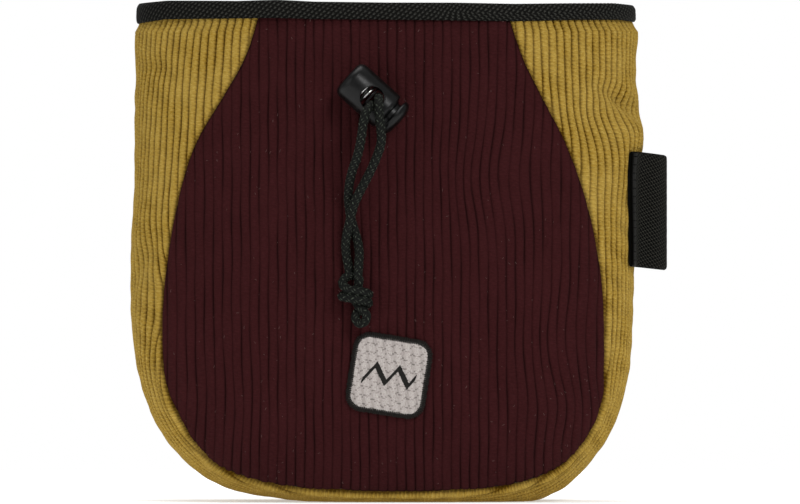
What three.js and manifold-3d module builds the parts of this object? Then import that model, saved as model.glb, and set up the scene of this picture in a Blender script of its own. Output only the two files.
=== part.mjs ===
// A climbing chalk bag: a corduroy pouch with a stiffened oval mouth, a bell-shaped front panel, a
// gusset that is both sides and the bottom, a rim binding, a brush loop, a belt loop and a drawcord
// held by a cord lock.
// Millimetres, +Z up. The front faces -Y, +X is the right side seen from the front, and the floor is
// at Z = 0.

import * as THREE from 'three';
import { mergeVertices } from 'three/addons/utils/BufferGeometryUtils.js';
import Module from 'manifold-3d';

const wasm = await Module();
wasm.setup();

// Driving sizes of the bag's body
const BAG_WIDTH = 150;
const BAG_DEPTH = 82;
const BODY_HEIGHT = 147; // floor to the raw top edge that the binding covers
const WALL = 2.2; // corduroy with its padding
const SEAM_GAP = 0.3; // clearance between neighbouring pieces
const FOLD_DEPTH = 2.6; // the deepest crease

// Rim binding, a tape folded over the top edge
const TAPE = 1.0;
const RIM_HEIGHT = 5.7;
const RIM_OVERLAP = 3.3; // how far the tape reaches down over the edge
const RIM_ROUND = 1.5;

// Brush loop on the right side, webbing on edge
const BRUSH_WEB_WIDTH = 34.5;
const WEB_THICK = 1.5;
const BRUSH_LOOP_SPAN = 36; // along the side, seam to seam
const BRUSH_LOOP_REACH = 7.6;
const BRUSH_LOOP_HEIGHT = 87.5; // centre above the floor

// Belt loop on the back
const BELT_WEB_WIDTH = 36;
const BELT_LOOP_SPAN = 52;
const BELT_LOOP_REACH = 6.5;
const BELT_LOOP_BELOW_RIM = 39; // top edge of the body to the loop's centre

// Patch on the front panel
const PATCH_SIZE = 23;
const PATCH_CORNER = 4.5;
const PATCH_THICK = 1.2;
const PATCH_PLACE = { x: 0.5, z: 38 };
const PATCH_TILT = THREE.MathUtils.degToRad(-9);

// Cord lock: a barrel with one closed end, a cross hole for the cord and a sprung plunger
const BARREL_RADIUS = 6.1;
const BARREL_LENGTH = 16;
const BARREL_WALL = 1.1;
const BARREL_END = 1.4;
const BARREL_ROUND = 0.8;
const HOLE_RADIUS = 3.7;
const HOLE_FROM_END = 9.9; // closed end to the centre of the cross hole
const PLUNGER_RUN = 0.3; // running clearance of the plunger in the barrel
const PLUNGER_BAR = 1.3; // the part of the plunger that grips the cord
const PLUNGER_GAP = 1.7; // between barrel and head at rest
const PLUNGER_TRAVEL = 1.4;
const HEAD_LENGTH = 3;
const SPRING_RADIUS = 3.5;
const SPRING_WIRE = 0.7;
const SPRING_TURNS = 3;
const TOGGLE_PLACE = { x: -4.5, z: 120.3 }; // centre of the cross hole, seen from the front
// The barrel's axis points this far below the horizontal, with the plunger down to the right.
const TOGGLE_ANGLE = THREE.MathUtils.degToRad(42);

// Drawcord and its knot
const CORD_DIAMETER = 2.6;
const CORD_CLEAR = 0.3;
const CORD_OFF_AXIS = 1.5; // each strand's distance from the middle of the cross hole, across the barrel
const CORD_ALONG = 1.2; // both strands' distance from the middle of the cross hole, towards the plunger
const KNOT_PLACE = { x: -9.4, y: -48.5, z: 62 };
const KNOT_WIDTH = 10.2;
const KNOT_DEPTH = 7;
// Turns of cord round the knot's core. rise and shift are shares of the cord's radius, lean is in radians.
const KNOT_TURNS = [
  { rise: 0.95, shift: 0, lean: 0.16 },
  { rise: -0.95, shift: -0.2, lean: 0.1 },
];
// The end of the cord's loop below the turns, and the knot's core, in shares of the cord's radius
const KNOT_BIGHT = { radius: 1.5, shift: 1.25, rise: -5.1 };
const KNOT_CORE = { upper: 1.5, lower: 1, length: 6.5, rise: -0.1 };

// Mesh fineness
const SEGMENTS = 48;
const SEAM_POINTS = 40;
const CORD_SIDES = 8;
const CORD_STEP = 3;
const LATHE_SIDES = 20;
const SPRING_SIDES = 5;
const SPRING_STEPS_PER_TURN = 12;
const KNOT_SIDES = 7;
const KNOT_STEPS = 12;
const PATCH_RINGS = [1, 0.66, 0.33]; // shares of the patch's outline that the mesh follows

const HALF_WIDTH = BAG_WIDTH / 2;
const HALF_DEPTH = BAG_DEPTH / 2;
const BELT_LOOP_HEIGHT = BODY_HEIGHT - BELT_LOOP_BELOW_RIM;

// Sections of the body from the floor up. height is a share of BODY_HEIGHT, left and right are shares of
// HALF_WIDTH, front and back of HALF_DEPTH. power is the section's squareness (2 is an ellipse), and
// steps is how many mesh levels lie between this section and the next.
const SECTIONS = [
  { height: 0.0, left: 0.32, right: 0.55, front: 0.56, back: 0.56, power: 2.5, steps: 1 },
  { height: 0.006, left: 0.4, right: 0.607, front: 0.68, back: 0.68, power: 2.5, steps: 1 },
  { height: 0.018, left: 0.563, right: 0.663, front: 0.78, back: 0.78, power: 2.6, steps: 1 },
  { height: 0.035, left: 0.671, right: 0.719, front: 0.845, back: 0.845, power: 2.7, steps: 1 },
  { height: 0.073, left: 0.787, right: 0.795, front: 0.92, back: 0.92, power: 2.85, steps: 1 },
  { height: 0.135, left: 0.895, right: 0.883, front: 0.985, back: 0.98, power: 3.0, steps: 1 },
  { height: 0.196, left: 0.955, right: 0.931, front: 1.03, back: 1.02, power: 3.05, steps: 2 },
  { height: 0.288, left: 1.003, right: 0.967, front: 1.065, back: 1.05, power: 3.05, steps: 2 },
  { height: 0.41, left: 1.023, right: 0.979, front: 1.085, back: 1.06, power: 2.95, steps: 2 },
  { height: 0.533, left: 1.019, right: 0.987, front: 1.085, back: 1.055, power: 2.75, steps: 2 },
  { height: 0.655, left: 1.007, right: 0.997, front: 1.07, back: 1.045, power: 2.5, steps: 2 },
  { height: 0.747, left: 1.007, right: 1.015, front: 1.05, back: 1.03, power: 2.35, steps: 1 },
  { height: 0.808, left: 1.007, right: 0.999, front: 1.037, back: 1.02, power: 2.25, steps: 1 },
  { height: 0.87, left: 1.003, right: 0.987, front: 1.02, back: 1.01, power: 2.15, steps: 1 },
  { height: 0.925, left: 1.007, right: 0.993, front: 1.008, back: 1.004, power: 2.08, steps: 1 },
  { height: 0.961, left: 1.007, right: 0.999, front: 0.998, back: 0.998, power: 2.02, steps: 1 },
  { height: 0.973, left: 0.985, right: 0.973, front: 0.968, back: 0.968, power: 2.0, steps: 1 },
  { height: 1.0, left: 0.985, right: 0.973, front: 0.968, back: 0.968, power: 2.0, steps: 0 },
];

// Seam between front panel and gusset, from the mouth down. height is a share of BODY_HEIGHT, left and
// right are shares of HALF_WIDTH. The last row is where the seam turns along the bottom.
const SEAM = [
  { height: 0.973, left: 0.523, right: 0.491 },
  { height: 0.9, left: 0.571, right: 0.54 },
  { height: 0.827, left: 0.651, right: 0.611 },
  { height: 0.729, left: 0.763, right: 0.711 },
  { height: 0.631, left: 0.827, right: 0.783 },
  { height: 0.533, left: 0.867, right: 0.831 },
  { height: 0.435, left: 0.891, right: 0.859 },
  { height: 0.337, left: 0.899, right: 0.867 },
  { height: 0.239, left: 0.883, right: 0.875 },
  { height: 0.165, left: 0.819, right: 0.831 },
  { height: 0.116, left: 0.759, right: 0.775 },
  { height: 0.067, left: 0.651, right: 0.675 },
  { height: 0.035, left: 0.44, right: 0.5 },
  { height: 0.023, left: 0.16, right: 0.24 },
];

// Creases and hollows of the cloth. around is degrees from the right side, anticlockwise seen from above,
// so the front is at -90. height and tall are shares of BODY_HEIGHT, wide is degrees, depth is a share of
// FOLD_DEPTH and negative where the cloth stands out, and lean moves the fold up per degree going round.
const FOLDS = [
  { around: -17, height: 0.812, wide: 15, tall: 0.03, depth: 1.0, lean: -0.0014 },
  { around: -15, height: 0.748, wide: 15, tall: 0.026, depth: -0.4, lean: 0 },
  { around: -152, height: 0.885, wide: 10, tall: 0.022, depth: 0.55, lean: 0 },
  { around: -160, height: 0.49, wide: 12, tall: 0.045, depth: 0.5, lean: 0.004 },
  { around: -72, height: 0.655, wide: 11, tall: 0.11, depth: 0.55, lean: 0.004 },
  { around: -28, height: 0.26, wide: 12, tall: 0.06, depth: 0.4, lean: 0 },
];

// Webbing loops, from one sewn end to the other. along is a share of the loop's half span and out a share
// of its reach. The brush loop is an arch, and the belt loop has a flat run that a belt lies under.
const BRUSH_PATH = [
  { along: -1, out: 0 },
  { along: -0.74, out: 0 },
  { along: -0.6, out: 0.2 },
  { along: -0.42, out: 0.66 },
  { along: -0.24, out: 0.94 },
  { along: -0.12, out: 1 },
  { along: 0.12, out: 1 },
  { along: 0.24, out: 0.94 },
  { along: 0.42, out: 0.66 },
  { along: 0.6, out: 0.2 },
  { along: 0.74, out: 0 },
  { along: 1, out: 0 },
];
const BELT_PATH = [
  { along: -1, out: 0 },
  { along: -0.78, out: 0 },
  { along: -0.7, out: 0.25 },
  { along: -0.62, out: 0.8 },
  { along: -0.54, out: 1 },
  { along: 0.54, out: 1 },
  { along: 0.62, out: 0.8 },
  { along: 0.7, out: 0.25 },
  { along: 0.78, out: 0 },
  { along: 1, out: 0 },
];

// Routes of the two strands, chosen by hand: out through the front panel and the cord lock, over the
// barrel, and down the front to the knot.
const LEFT_STRAND = [
  [-4.6, -39.8, 118.4],
  [-4.6, -44.5, 118.4],
  [-4.6, -49, 118.4],
  [-4.62, -52.9, 118.4],
  [-5.15, -55.8, 117.9],
  [-6.2, -57.7, 116.3],
  [-7.0, -58.3, 113.6],
  [-7.5, -57.7, 110.3],
  [-8.1, -56.2, 106.5],
  [-9.1, -54.3, 102.6],
  [-10.4, -52, 98.8],
  [-11.3, -49.6, 94.8],
  [-11.6, -47.6, 91],
  [-11.3, -46.6, 87.6],
  [-10.7, -46.4, 84.2],
  [-9.7, -46.5, 80.8],
  [-8.8, -46.8, 77.6],
  [-8.4, -47.4, 74.6],
  [-8.5, -48.1, 71.4],
  [-8.7, -48.6, 68.6],
  [-8.8, -48.8, 66.4],
];
const RIGHT_STRAND = [
  [-2.6, -39.8, 120.6],
  [-2.6, -44.5, 120.6],
  [-2.6, -49, 120.6],
  [-2.6, -52.6, 120.6],
  [-2.55, -55.4, 119.9],
  [-2.5, -57.3, 118],
  [-2.35, -58, 115.3],
  [-2.1, -57.7, 112.2],
  [-1.75, -56.9, 109.3],
  [-1.95, -55.8, 106.6],
  [-3.0, -54.6, 103.4],
  [-4.5, -53.3, 99.8],
  [-6.5, -52, 95.8],
  [-8.5, -50.9, 92],
  [-9.9, -50.1, 88.8],
  [-10.7, -49.6, 85.8],
  [-11.4, -49.1, 82.8],
  [-12.1, -48, 79.5],
  [-12.4, -46.9, 76.4],
  [-12.1, -46.5, 73.4],
  [-11.5, -46.5, 70],
  [-11, -46.5, 66.4],
];

const SURFACES = {
  burgundy: { color: 0x371819, roughness: 0.95, metalness: 0 },
  mustard: { color: 0xa07f37, roughness: 0.95, metalness: 0 },
  blackTape: { color: 0x1e1e1b, roughness: 0.85, metalness: 0 },
  webbing: { color: 0x1b1b18, roughness: 0.8, metalness: 0 },
  cord: { color: 0x23241f, roughness: 0.85, metalness: 0 },
  plastic: { color: 0x171816, roughness: 0.4, metalness: 0 },
  steel: { color: 0xb9b9b5, roughness: 0.3, metalness: 1 },
  embroidery: { color: 0xa69d97, roughness: 0.7, metalness: 0 },
};

// Value of one column of a table at any height, on a smooth curve through its rows.
function column(rows, key, height) {
  let i = 0;
  while (i < rows.length - 2 && height > rows[i + 1].height) i += 1;
  const [low, high] = [rows[i], rows[i + 1]];
  const span = high.height - low.height;
  const slope = (high[key] - low[key]) / span;
  const before = rows[Math.max(i - 1, 0)];
  const after = rows[Math.min(i + 2, rows.length - 1)];
  const tangent = (from, to, own) => {
    const other = (to[key] - from[key]) / (to.height - from.height || 1);
    return other * own > 0 ? (2 * other * own) / (other + own) : 0;
  };
  const start = i === 0 ? slope : tangent(before, low, slope);
  const end = i === rows.length - 2 ? slope : tangent(high, after, slope);
  const t = (height - low.height) / span;
  const t2 = t * t;
  const t3 = t2 * t;
  return (2 * t3 - 3 * t2 + 1) * low[key] + (t3 - 2 * t2 + t) * span * start
    + (3 * t2 - 2 * t3) * high[key] + (t3 - t2) * span * end;
}

// The body's section at a height above the floor, in millimetres.
function sectionAt(z) {
  const height = z / BODY_HEIGHT;
  return {
    left: column(SECTIONS, 'left', height) * HALF_WIDTH,
    right: column(SECTIONS, 'right', height) * HALF_WIDTH,
    front: column(SECTIONS, 'front', height) * HALF_DEPTH,
    back: column(SECTIONS, 'back', height) * HALF_DEPTH,
    power: column(SECTIONS, 'power', height),
  };
}

// A point of a section's outline, inset from it, at an angle from the right side.
function outlinePoint(section, angle, inset) {
  const [c, s] = [Math.cos(angle), Math.sin(angle)];
  const a = (c >= 0 ? section.right : section.left) - inset;
  const b = (s >= 0 ? section.back : section.front) - inset;
  const bend = 2 / section.power;
  return new THREE.Vector2(
    a * Math.sign(c) * Math.abs(c) ** bend,
    b * Math.sign(s) * Math.abs(s) ** bend,
  );
}

// Outward direction of the outline at an angle, in plan.
function outlineNormal(section, angle) {
  const [c, s] = [Math.cos(angle), Math.sin(angle)];
  const a = c >= 0 ? section.right : section.left;
  const b = s >= 0 ? section.back : section.front;
  const lift = 2 - 2 / section.power;
  return new THREE.Vector2(
    Math.sign(c) * Math.abs(c) ** lift / a,
    Math.sign(s) * Math.abs(s) ** lift / b,
  ).normalize();
}

// How far the cloth is pushed in at an angle and a height.
function foldDepth(angle, z) {
  const degrees = THREE.MathUtils.radToDeg(angle);
  return FOLDS.reduce((sum, fold) => {
    const turn = THREE.MathUtils.euclideanModulo(degrees - fold.around + 180, 360) - 180;
    const rise = z / BODY_HEIGHT - fold.height - fold.lean * turn;
    return sum + fold.depth * FOLD_DEPTH * Math.exp(-((turn / fold.wide) ** 2) - (rise / fold.tall) ** 2);
  }, 0);
}

// Where the body's surface lies at a place seen from the front, from the back or from the right side.
function frontY(x, z) {
  const { left, right, front, power } = sectionAt(z);
  const share = Math.min(Math.abs(x) / (x >= 0 ? right : left), 1);
  return -front * (1 - share ** power) ** (1 / power);
}

function backY(x, z) {
  const { left, right, back, power } = sectionAt(z);
  const share = Math.min(Math.abs(x) / (x >= 0 ? right : left), 1);
  return back * (1 - share ** power) ** (1 / power);
}

function rightX(y, z) {
  const { right, front, back, power } = sectionAt(z);
  const share = Math.min(Math.abs(y) / (y >= 0 ? back : front), 1);
  return right * (1 - share ** power) ** (1 / power);
}

function toSolid(geometry) {
  const bare = geometry.clone();
  bare.deleteAttribute('normal');
  bare.deleteAttribute('uv');
  const merged = mergeVertices(bare, 1e-4);
  return new wasm.Manifold(new wasm.Mesh({
    numProp: 3,
    vertProperties: merged.attributes.position.array,
    triVerts: new Uint32Array(merged.index.array),
  }));
}

function toGeometry(solid) {
  const mesh = solid.getMesh();
  const geometry = new THREE.BufferGeometry();
  geometry.setAttribute('position', new THREE.BufferAttribute(mesh.vertProperties, 3));
  geometry.setIndex(new THREE.BufferAttribute(mesh.triVerts, 1));
  return geometry;
}

function indexedGeometry(points, faces) {
  const geometry = new THREE.BufferGeometry();
  const numbers = points.flatMap((point) => point.toArray());
  geometry.setAttribute('position', new THREE.Float32BufferAttribute(numbers, 3));
  geometry.setIndex(faces.flat());
  return geometry;
}

// Faces between the neighbouring sections of a ring. Each section is a line of points, closed on itself
// or open.
function ringFaces(sections, closed) {
  const across = sections[0].length;
  const faces = [];
  sections.forEach((_, i) => {
    const next = (i + 1) % sections.length;
    for (let j = 0; j < (closed ? across : across - 1); j += 1) {
      const k = (j + 1) % across;
      const [a, b, c, d] = [i * across + j, i * across + k, next * across + k, next * across + j];
      faces.push([a, d, c], [a, c, b]);
    }
  });
  return faces;
}

// A plate between two grids of points, under and over, each rows by columns.
function plateGeometry(under, over) {
  const [rows, columns] = [under.length, under[0].length];
  const count = rows * columns;
  const at = (i, j, top) => (top ? count : 0) + i * columns + j;
  const faces = [];
  const quad = (a, b, c, d) => faces.push([a, b, c], [a, c, d]);
  for (let i = 0; i < rows - 1; i += 1) {
    for (let j = 0; j < columns - 1; j += 1) {
      quad(at(i, j, true), at(i + 1, j, true), at(i + 1, j + 1, true), at(i, j + 1, true));
      quad(at(i, j, false), at(i, j + 1, false), at(i + 1, j + 1, false), at(i + 1, j, false));
    }
    quad(at(i, 0, true), at(i, 0, false), at(i + 1, 0, false), at(i + 1, 0, true));
    const last = columns - 1;
    quad(at(i, last, false), at(i, last, true), at(i + 1, last, true), at(i + 1, last, false));
  }
  for (let j = 0; j < columns - 1; j += 1) {
    quad(at(0, j, false), at(0, j, true), at(0, j + 1, true), at(0, j + 1, false));
    const last = rows - 1;
    quad(at(last, j, true), at(last, j, false), at(last, j + 1, false), at(last, j + 1, true));
  }
  return indexedGeometry([...under.flat(), ...over.flat()], faces);
}

// Heights of the mesh levels, from the table of sections.
function bodyLevels() {
  return SECTIONS.flatMap((row, i) => {
    if (row.steps === 0) return [row.height * BODY_HEIGHT];
    const rise = (SECTIONS[i + 1].height - row.height) / row.steps;
    return Array.from({ length: row.steps }, (_, k) => (row.height + k * rise) * BODY_HEIGHT);
  });
}

// The whole bag before it is cut into its panels: outer skin, inner skin and the top edge between them.
function bodyShell() {
  const levels = bodyLevels();
  const angles = Array.from({ length: SEGMENTS }, (_, k) => (2 * Math.PI * k) / SEGMENTS);
  const girth = (z) => {
    const { left, right, front, back } = sectionAt(z);
    return (left + right + front + back) / 4;
  };
  const skin = (inset) => levels.map((z, i) => {
    const [low, high] = [levels[Math.max(i - 1, 0)], levels[Math.min(i + 1, levels.length - 1)]];
    const slope = new THREE.Vector2(girth(high) - girth(low), high - low).normalize();
    const inwards = i === 0 ? 0 : inset * slope.y;
    const upwards = i === 0 ? inset : inset * slope.x * (i < levels.length - 1 ? 1 : 0);
    return angles.map((angle) => {
      const fold = foldDepth(angle, z);
      const flat = outlinePoint(sectionAt(z), angle, inwards)
        .addScaledVector(outlineNormal(sectionAt(z), angle), -fold);
      return new THREE.Vector3(flat.x, flat.y, z + upwards);
    });
  });
  const [outer, inner] = [skin(0), skin(WALL)];
  const sections = angles.map((_, k) => [
    ...outer.map((ring) => ring[k]),
    ...inner.map((ring) => ring[k]).reverse(),
  ]);
  const across = sections[0].length;
  const points = [...sections.flat(), new THREE.Vector3(0, 0, 0), new THREE.Vector3(0, 0, WALL)];
  const [floor, seat] = [points.length - 2, points.length - 1];
  const faces = ringFaces(sections, false);
  angles.forEach((_, k) => {
    const next = (k + 1) % SEGMENTS;
    faces.push([floor, next * across, k * across]);
    faces.push([seat, k * across + across - 1, next * across + across - 1]);
  });
  return toSolid(indexedGeometry(points, faces));
}

// The bell outline of the front and back panels, moved outwards by grow.
function bellShape(grow) {
  const aboveRim = BODY_HEIGHT * 1.1;
  const side = (key, sign) => SEAM.map((row) => new THREE.Vector2(
    sign * row[key] * HALF_WIDTH,
    row.height * BODY_HEIGHT,
  ));
  const seam = new THREE.SplineCurve([...side('left', -1), ...side('right', 1).reverse()]);
  const points = Array.from({ length: SEAM_POINTS + 1 }, (_, k) => {
    const t = k / SEAM_POINTS;
    const tangent = seam.getTangentAt(t);
    return seam.getPointAt(t).add(new THREE.Vector2(tangent.y, -tangent.x).multiplyScalar(grow));
  });
  const straightUp = (edge, inner) => {
    const slope = (edge.x - inner.x) / (edge.y - inner.y);
    return new THREE.Vector2(edge.x + slope * (aboveRim - edge.y), aboveRim);
  };
  const last = points.length - 1;
  return new THREE.Shape([
    straightUp(points[0], points[1]),
    ...points,
    straightUp(points[last], points[last - 1]),
  ]);
}

// A solid of a shape drawn in the X-Z plane, from one depth to another.
function prism(shape, fromY, toY) {
  const geometry = new THREE.ExtrudeGeometry(shape, { depth: toY - fromY, bevelEnabled: false });
  return toSolid(geometry.rotateX(Math.PI / 2).translate(0, toY, 0));
}

function rimGeometry() {
  const top = sectionAt(BODY_HEIGHT);
  const outer = SEAM_GAP + TAPE;
  const inner = -WALL - SEAM_GAP - TAPE;
  const low = BODY_HEIGHT - RIM_OVERLAP;
  const high = low + RIM_HEIGHT;
  const roof = BODY_HEIGHT + SEAM_GAP;
  const diagonal = RIM_ROUND * (1 - Math.SQRT1_2);
  const profile = [
    [SEAM_GAP, low],
    [outer, low],
    [outer, high - RIM_ROUND],
    [outer - diagonal, high - diagonal],
    [outer - RIM_ROUND, high],
    [inner + RIM_ROUND, high],
    [inner + diagonal, high - diagonal],
    [inner, high - RIM_ROUND],
    [inner, low],
    [-WALL - SEAM_GAP, low],
    [-WALL - SEAM_GAP, roof],
    [SEAM_GAP, roof],
  ];
  const sections = Array.from({ length: SEGMENTS }, (_, k) => {
    const angle = (2 * Math.PI * k) / SEGMENTS;
    return profile.map(([offset, z]) => {
      const flat = outlinePoint(top, angle, -offset);
      return new THREE.Vector3(flat.x, flat.y, z);
    });
  });
  return indexedGeometry(sections.flat(), ringFaces(sections, true));
}

// A webbing loop. stations are places across the webbing, and place puts one point of it: along the loop,
// across the webbing, out from the cloth, and how much of the loop's full reach it has.
function loopGeometry(path, span, reach, stations, place) {
  const line = path.map((row) => new THREE.Vector2(row.along * span / 2, row.out * reach + SEAM_GAP));
  const grid = (lift) => line.map((point, i) => {
    const [before, after] = [line[Math.max(i - 1, 0)], line[Math.min(i + 1, line.length - 1)]];
    const tangent = after.clone().sub(before).normalize();
    const along = point.x - tangent.y * lift;
    const out = point.y + tangent.x * lift;
    return stations.map((across) => place(along, across, out, path[i].out));
  });
  return plateGeometry(grid(0), grid(WEB_THICK));
}

function spread(middle, width, count) {
  return Array.from({ length: count }, (_, k) => middle + width * (k / (count - 1) - 0.5));
}

function brushLoopGeometry() {
  const stations = spread(BRUSH_LOOP_HEIGHT, BRUSH_WEB_WIDTH, 5);
  const widest = rightX(0, BRUSH_LOOP_HEIGHT);
  return loopGeometry(BRUSH_PATH, BRUSH_LOOP_SPAN, BRUSH_LOOP_REACH, stations, (y, z, out, share) => (
    new THREE.Vector3(THREE.MathUtils.lerp(rightX(y, z), widest, share) + out, y, z)
  ));
}

function beltLoopGeometry() {
  const stations = spread(0, BELT_WEB_WIDTH, 7);
  const deepest = backY(0, BELT_LOOP_HEIGHT);
  return loopGeometry(BELT_PATH, BELT_LOOP_SPAN, BELT_LOOP_REACH, stations, (along, x, out, share) => {
    const z = BELT_LOOP_HEIGHT + along;
    return new THREE.Vector3(x, THREE.MathUtils.lerp(backY(x, z), deepest, share) + out, z);
  });
}

// The patch: a square with round corners that lies on the front panel and follows it.
function patchGeometry() {
  const half = PATCH_SIZE / 2;
  const straight = half - PATCH_CORNER;
  const middle = new THREE.Vector2();
  const outline = [];
  for (let corner = 0; corner < 4; corner += 1) {
    const turn = (corner * Math.PI) / 2;
    const centre = new THREE.Vector2(straight, straight).rotateAround(middle, turn);
    for (let k = 0; k <= 4; k += 1) {
      const angle = turn + (k / 4) * (Math.PI / 2);
      outline.push(centre.clone().add(new THREE.Vector2(PATCH_CORNER, 0).rotateAround(middle, angle)));
    }
    const next = new THREE.Vector2(-straight, straight).rotateAround(middle, turn);
    const outward = new THREE.Vector2(0, PATCH_CORNER).rotateAround(middle, turn);
    for (const share of [1 / 3, 2 / 3]) {
      outline.push(centre.clone().lerp(next, share).add(outward));
    }
  }
  const onPanel = (flat, lift) => {
    const turned = flat.clone().rotateAround(middle, PATCH_TILT);
    const [x, z] = [PATCH_PLACE.x + turned.x, PATCH_PLACE.z + turned.y];
    return new THREE.Vector3(x, frontY(x, z) - SEAM_GAP - lift, z);
  };
  const ring = (share, lift) => outline.map((point) => onPanel(point.clone().multiplyScalar(share), lift));
  const layer = (lift) => [...PATCH_RINGS.flatMap((share) => ring(share, lift)), onPanel(middle, lift)];
  const [back, front] = [layer(0), layer(PATCH_THICK)];
  const n = outline.length;
  const faces = [];
  const both = (a, b, c) => faces.push([a, c, b], [a + back.length, b + back.length, c + back.length]);
  for (let k = 0; k < n; k += 1) {
    const next = (k + 1) % n;
    PATCH_RINGS.slice(1).forEach((_, r) => {
      const [o, i] = [r * n, (r + 1) * n];
      both(o + k, o + next, i + next);
      both(o + k, i + next, i + k);
    });
    const innermost = (PATCH_RINGS.length - 1) * n;
    both(innermost + k, innermost + next, innermost + n);
    faces.push([k, next, next + back.length], [k, next + back.length, k + back.length]);
  }
  return indexedGeometry([...back, ...front], faces);
}

// A round tube along a route, for a strand of cord or the spring.
function tube(points, radius, sides, step) {
  const route = new THREE.CatmullRomCurve3(points.map((point) => new THREE.Vector3(...point)));
  const section = new THREE.Shape(Array.from({ length: sides }, (_, k) => {
    const angle = (2 * Math.PI * k) / sides;
    return new THREE.Vector2(radius * Math.cos(angle), radius * Math.sin(angle));
  }));
  const steps = Math.ceil(route.getLength() / step);
  return new THREE.ExtrudeGeometry(section, { steps, bevelEnabled: false, extrudePath: route });
}

// The knot: two turns of cord round a core, and the end of the cord's loop below them.
function knotGeometry() {
  const r = CORD_DIAMETER / 2;
  const turns = KNOT_TURNS.map(({ rise, shift, lean }) => toSolid(
    new THREE.TorusGeometry(KNOT_DEPTH / 2 - r, r, KNOT_SIDES, KNOT_STEPS)
      .scale(KNOT_WIDTH / KNOT_DEPTH, 1, 1)
      .rotateY(lean)
      .translate(shift * r, 0, rise * r),
  ));
  const bight = toSolid(
    new THREE.TorusGeometry(KNOT_BIGHT.radius * r, r, KNOT_SIDES, KNOT_STEPS)
      .rotateX(Math.PI / 2)
      .translate(KNOT_BIGHT.shift * r, 0, KNOT_BIGHT.rise * r),
  );
  const core = toSolid(
    new THREE.CylinderGeometry(KNOT_CORE.upper * r, KNOT_CORE.lower * r, KNOT_CORE.length * r, KNOT_STEPS)
      .rotateX(Math.PI / 2)
      .translate(0, 0, KNOT_CORE.rise * r),
  );
  const { x, y, z } = KNOT_PLACE;
  return toGeometry([...turns, bight].reduce((sum, piece) => sum.add(piece), core)).translate(x, y, z);
}

// The cord lock is drawn along +X with the middle of its cross hole at the origin and the hole along Y.
const BORE_RADIUS = BARREL_RADIUS - BARREL_WALL;
const CLOSED_END_X = -HOLE_FROM_END;
const OPEN_END_X = CLOSED_END_X + BARREL_LENGTH;
const CORD_RADIUS = CORD_DIAMETER / 2;
const CROSS_CUT = BARREL_RADIUS * 3; // length of the tools that cut across the barrel and the plunger
const SLOT_START = CORD_ALONG - CORD_RADIUS - CORD_CLEAR;
const SLOT_END = CORD_ALONG + CORD_RADIUS + CORD_CLEAR + PLUNGER_TRAVEL;

// Turns a profile of [distance along X, radius] pairs round the X axis.
function turned(profile, sides) {
  const points = profile.map(([along, radius]) => new THREE.Vector2(radius, along));
  return new THREE.LatheGeometry(points, sides).rotateZ(-Math.PI / 2);
}

function barrelGeometry() {
  const body = turned([
    [CLOSED_END_X, 0],
    [CLOSED_END_X, BARREL_RADIUS - BARREL_ROUND],
    [CLOSED_END_X + BARREL_ROUND * 0.3, BARREL_RADIUS - BARREL_ROUND * 0.3],
    [CLOSED_END_X + BARREL_ROUND, BARREL_RADIUS],
    [OPEN_END_X, BARREL_RADIUS],
    [OPEN_END_X, BORE_RADIUS],
    [CLOSED_END_X + BARREL_END, BORE_RADIUS],
    [CLOSED_END_X + BARREL_END, 0],
  ], LATHE_SIDES);
  const hole = new THREE.CylinderGeometry(HOLE_RADIUS, HOLE_RADIUS, CROSS_CUT, LATHE_SIDES);
  return toGeometry(toSolid(body).subtract(toSolid(hole)));
}

function plungerGeometry() {
  const shaft = BORE_RADIUS - PLUNGER_RUN;
  const head = OPEN_END_X + PLUNGER_GAP;
  const body = turned([
    [SLOT_START - PLUNGER_BAR, 0],
    [SLOT_START - PLUNGER_BAR, shaft],
    [head, shaft],
    [head, BARREL_RADIUS],
    [head + HEAD_LENGTH - BARREL_ROUND, BARREL_RADIUS],
    [head + HEAD_LENGTH - BARREL_ROUND * 0.3, BARREL_RADIUS - BARREL_ROUND * 0.3],
    [head + HEAD_LENGTH, BARREL_RADIUS - BARREL_ROUND],
    [head + HEAD_LENGTH, 0],
  ], LATHE_SIDES);
  const slotWidth = 2 * (CORD_OFF_AXIS + CORD_RADIUS + CORD_CLEAR);
  const slot = new THREE.BoxGeometry(SLOT_END - SLOT_START, CROSS_CUT, slotWidth)
    .translate((SLOT_START + SLOT_END) / 2, 0, 0);
  return toGeometry(toSolid(body).subtract(toSolid(slot)));
}

// The spring, drawn as short as the pressed plunger leaves it.
function springGeometry() {
  const start = CLOSED_END_X + BARREL_END + SEAM_GAP + SPRING_WIRE / 2;
  const end = SLOT_START - PLUNGER_BAR - PLUNGER_TRAVEL - SEAM_GAP - SPRING_WIRE / 2;
  const count = SPRING_TURNS * SPRING_STEPS_PER_TURN;
  const coil = Array.from({ length: count + 1 }, (_, k) => {
    const angle = (2 * Math.PI * k) / SPRING_STEPS_PER_TURN;
    return [
      start + ((end - start) * k) / count,
      SPRING_RADIUS * Math.cos(angle),
      SPRING_RADIUS * Math.sin(angle),
    ];
  });
  const step = (2 * Math.PI * SPRING_RADIUS) / SPRING_STEPS_PER_TURN;
  return tube(coil, SPRING_WIRE / 2, SPRING_SIDES, step);
}

function named(name, geometry, surface) {
  const mesh = new THREE.Mesh(geometry, new THREE.MeshStandardMaterial(surface));
  mesh.name = name;
  return mesh;
}

const group = new THREE.Group();

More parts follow.
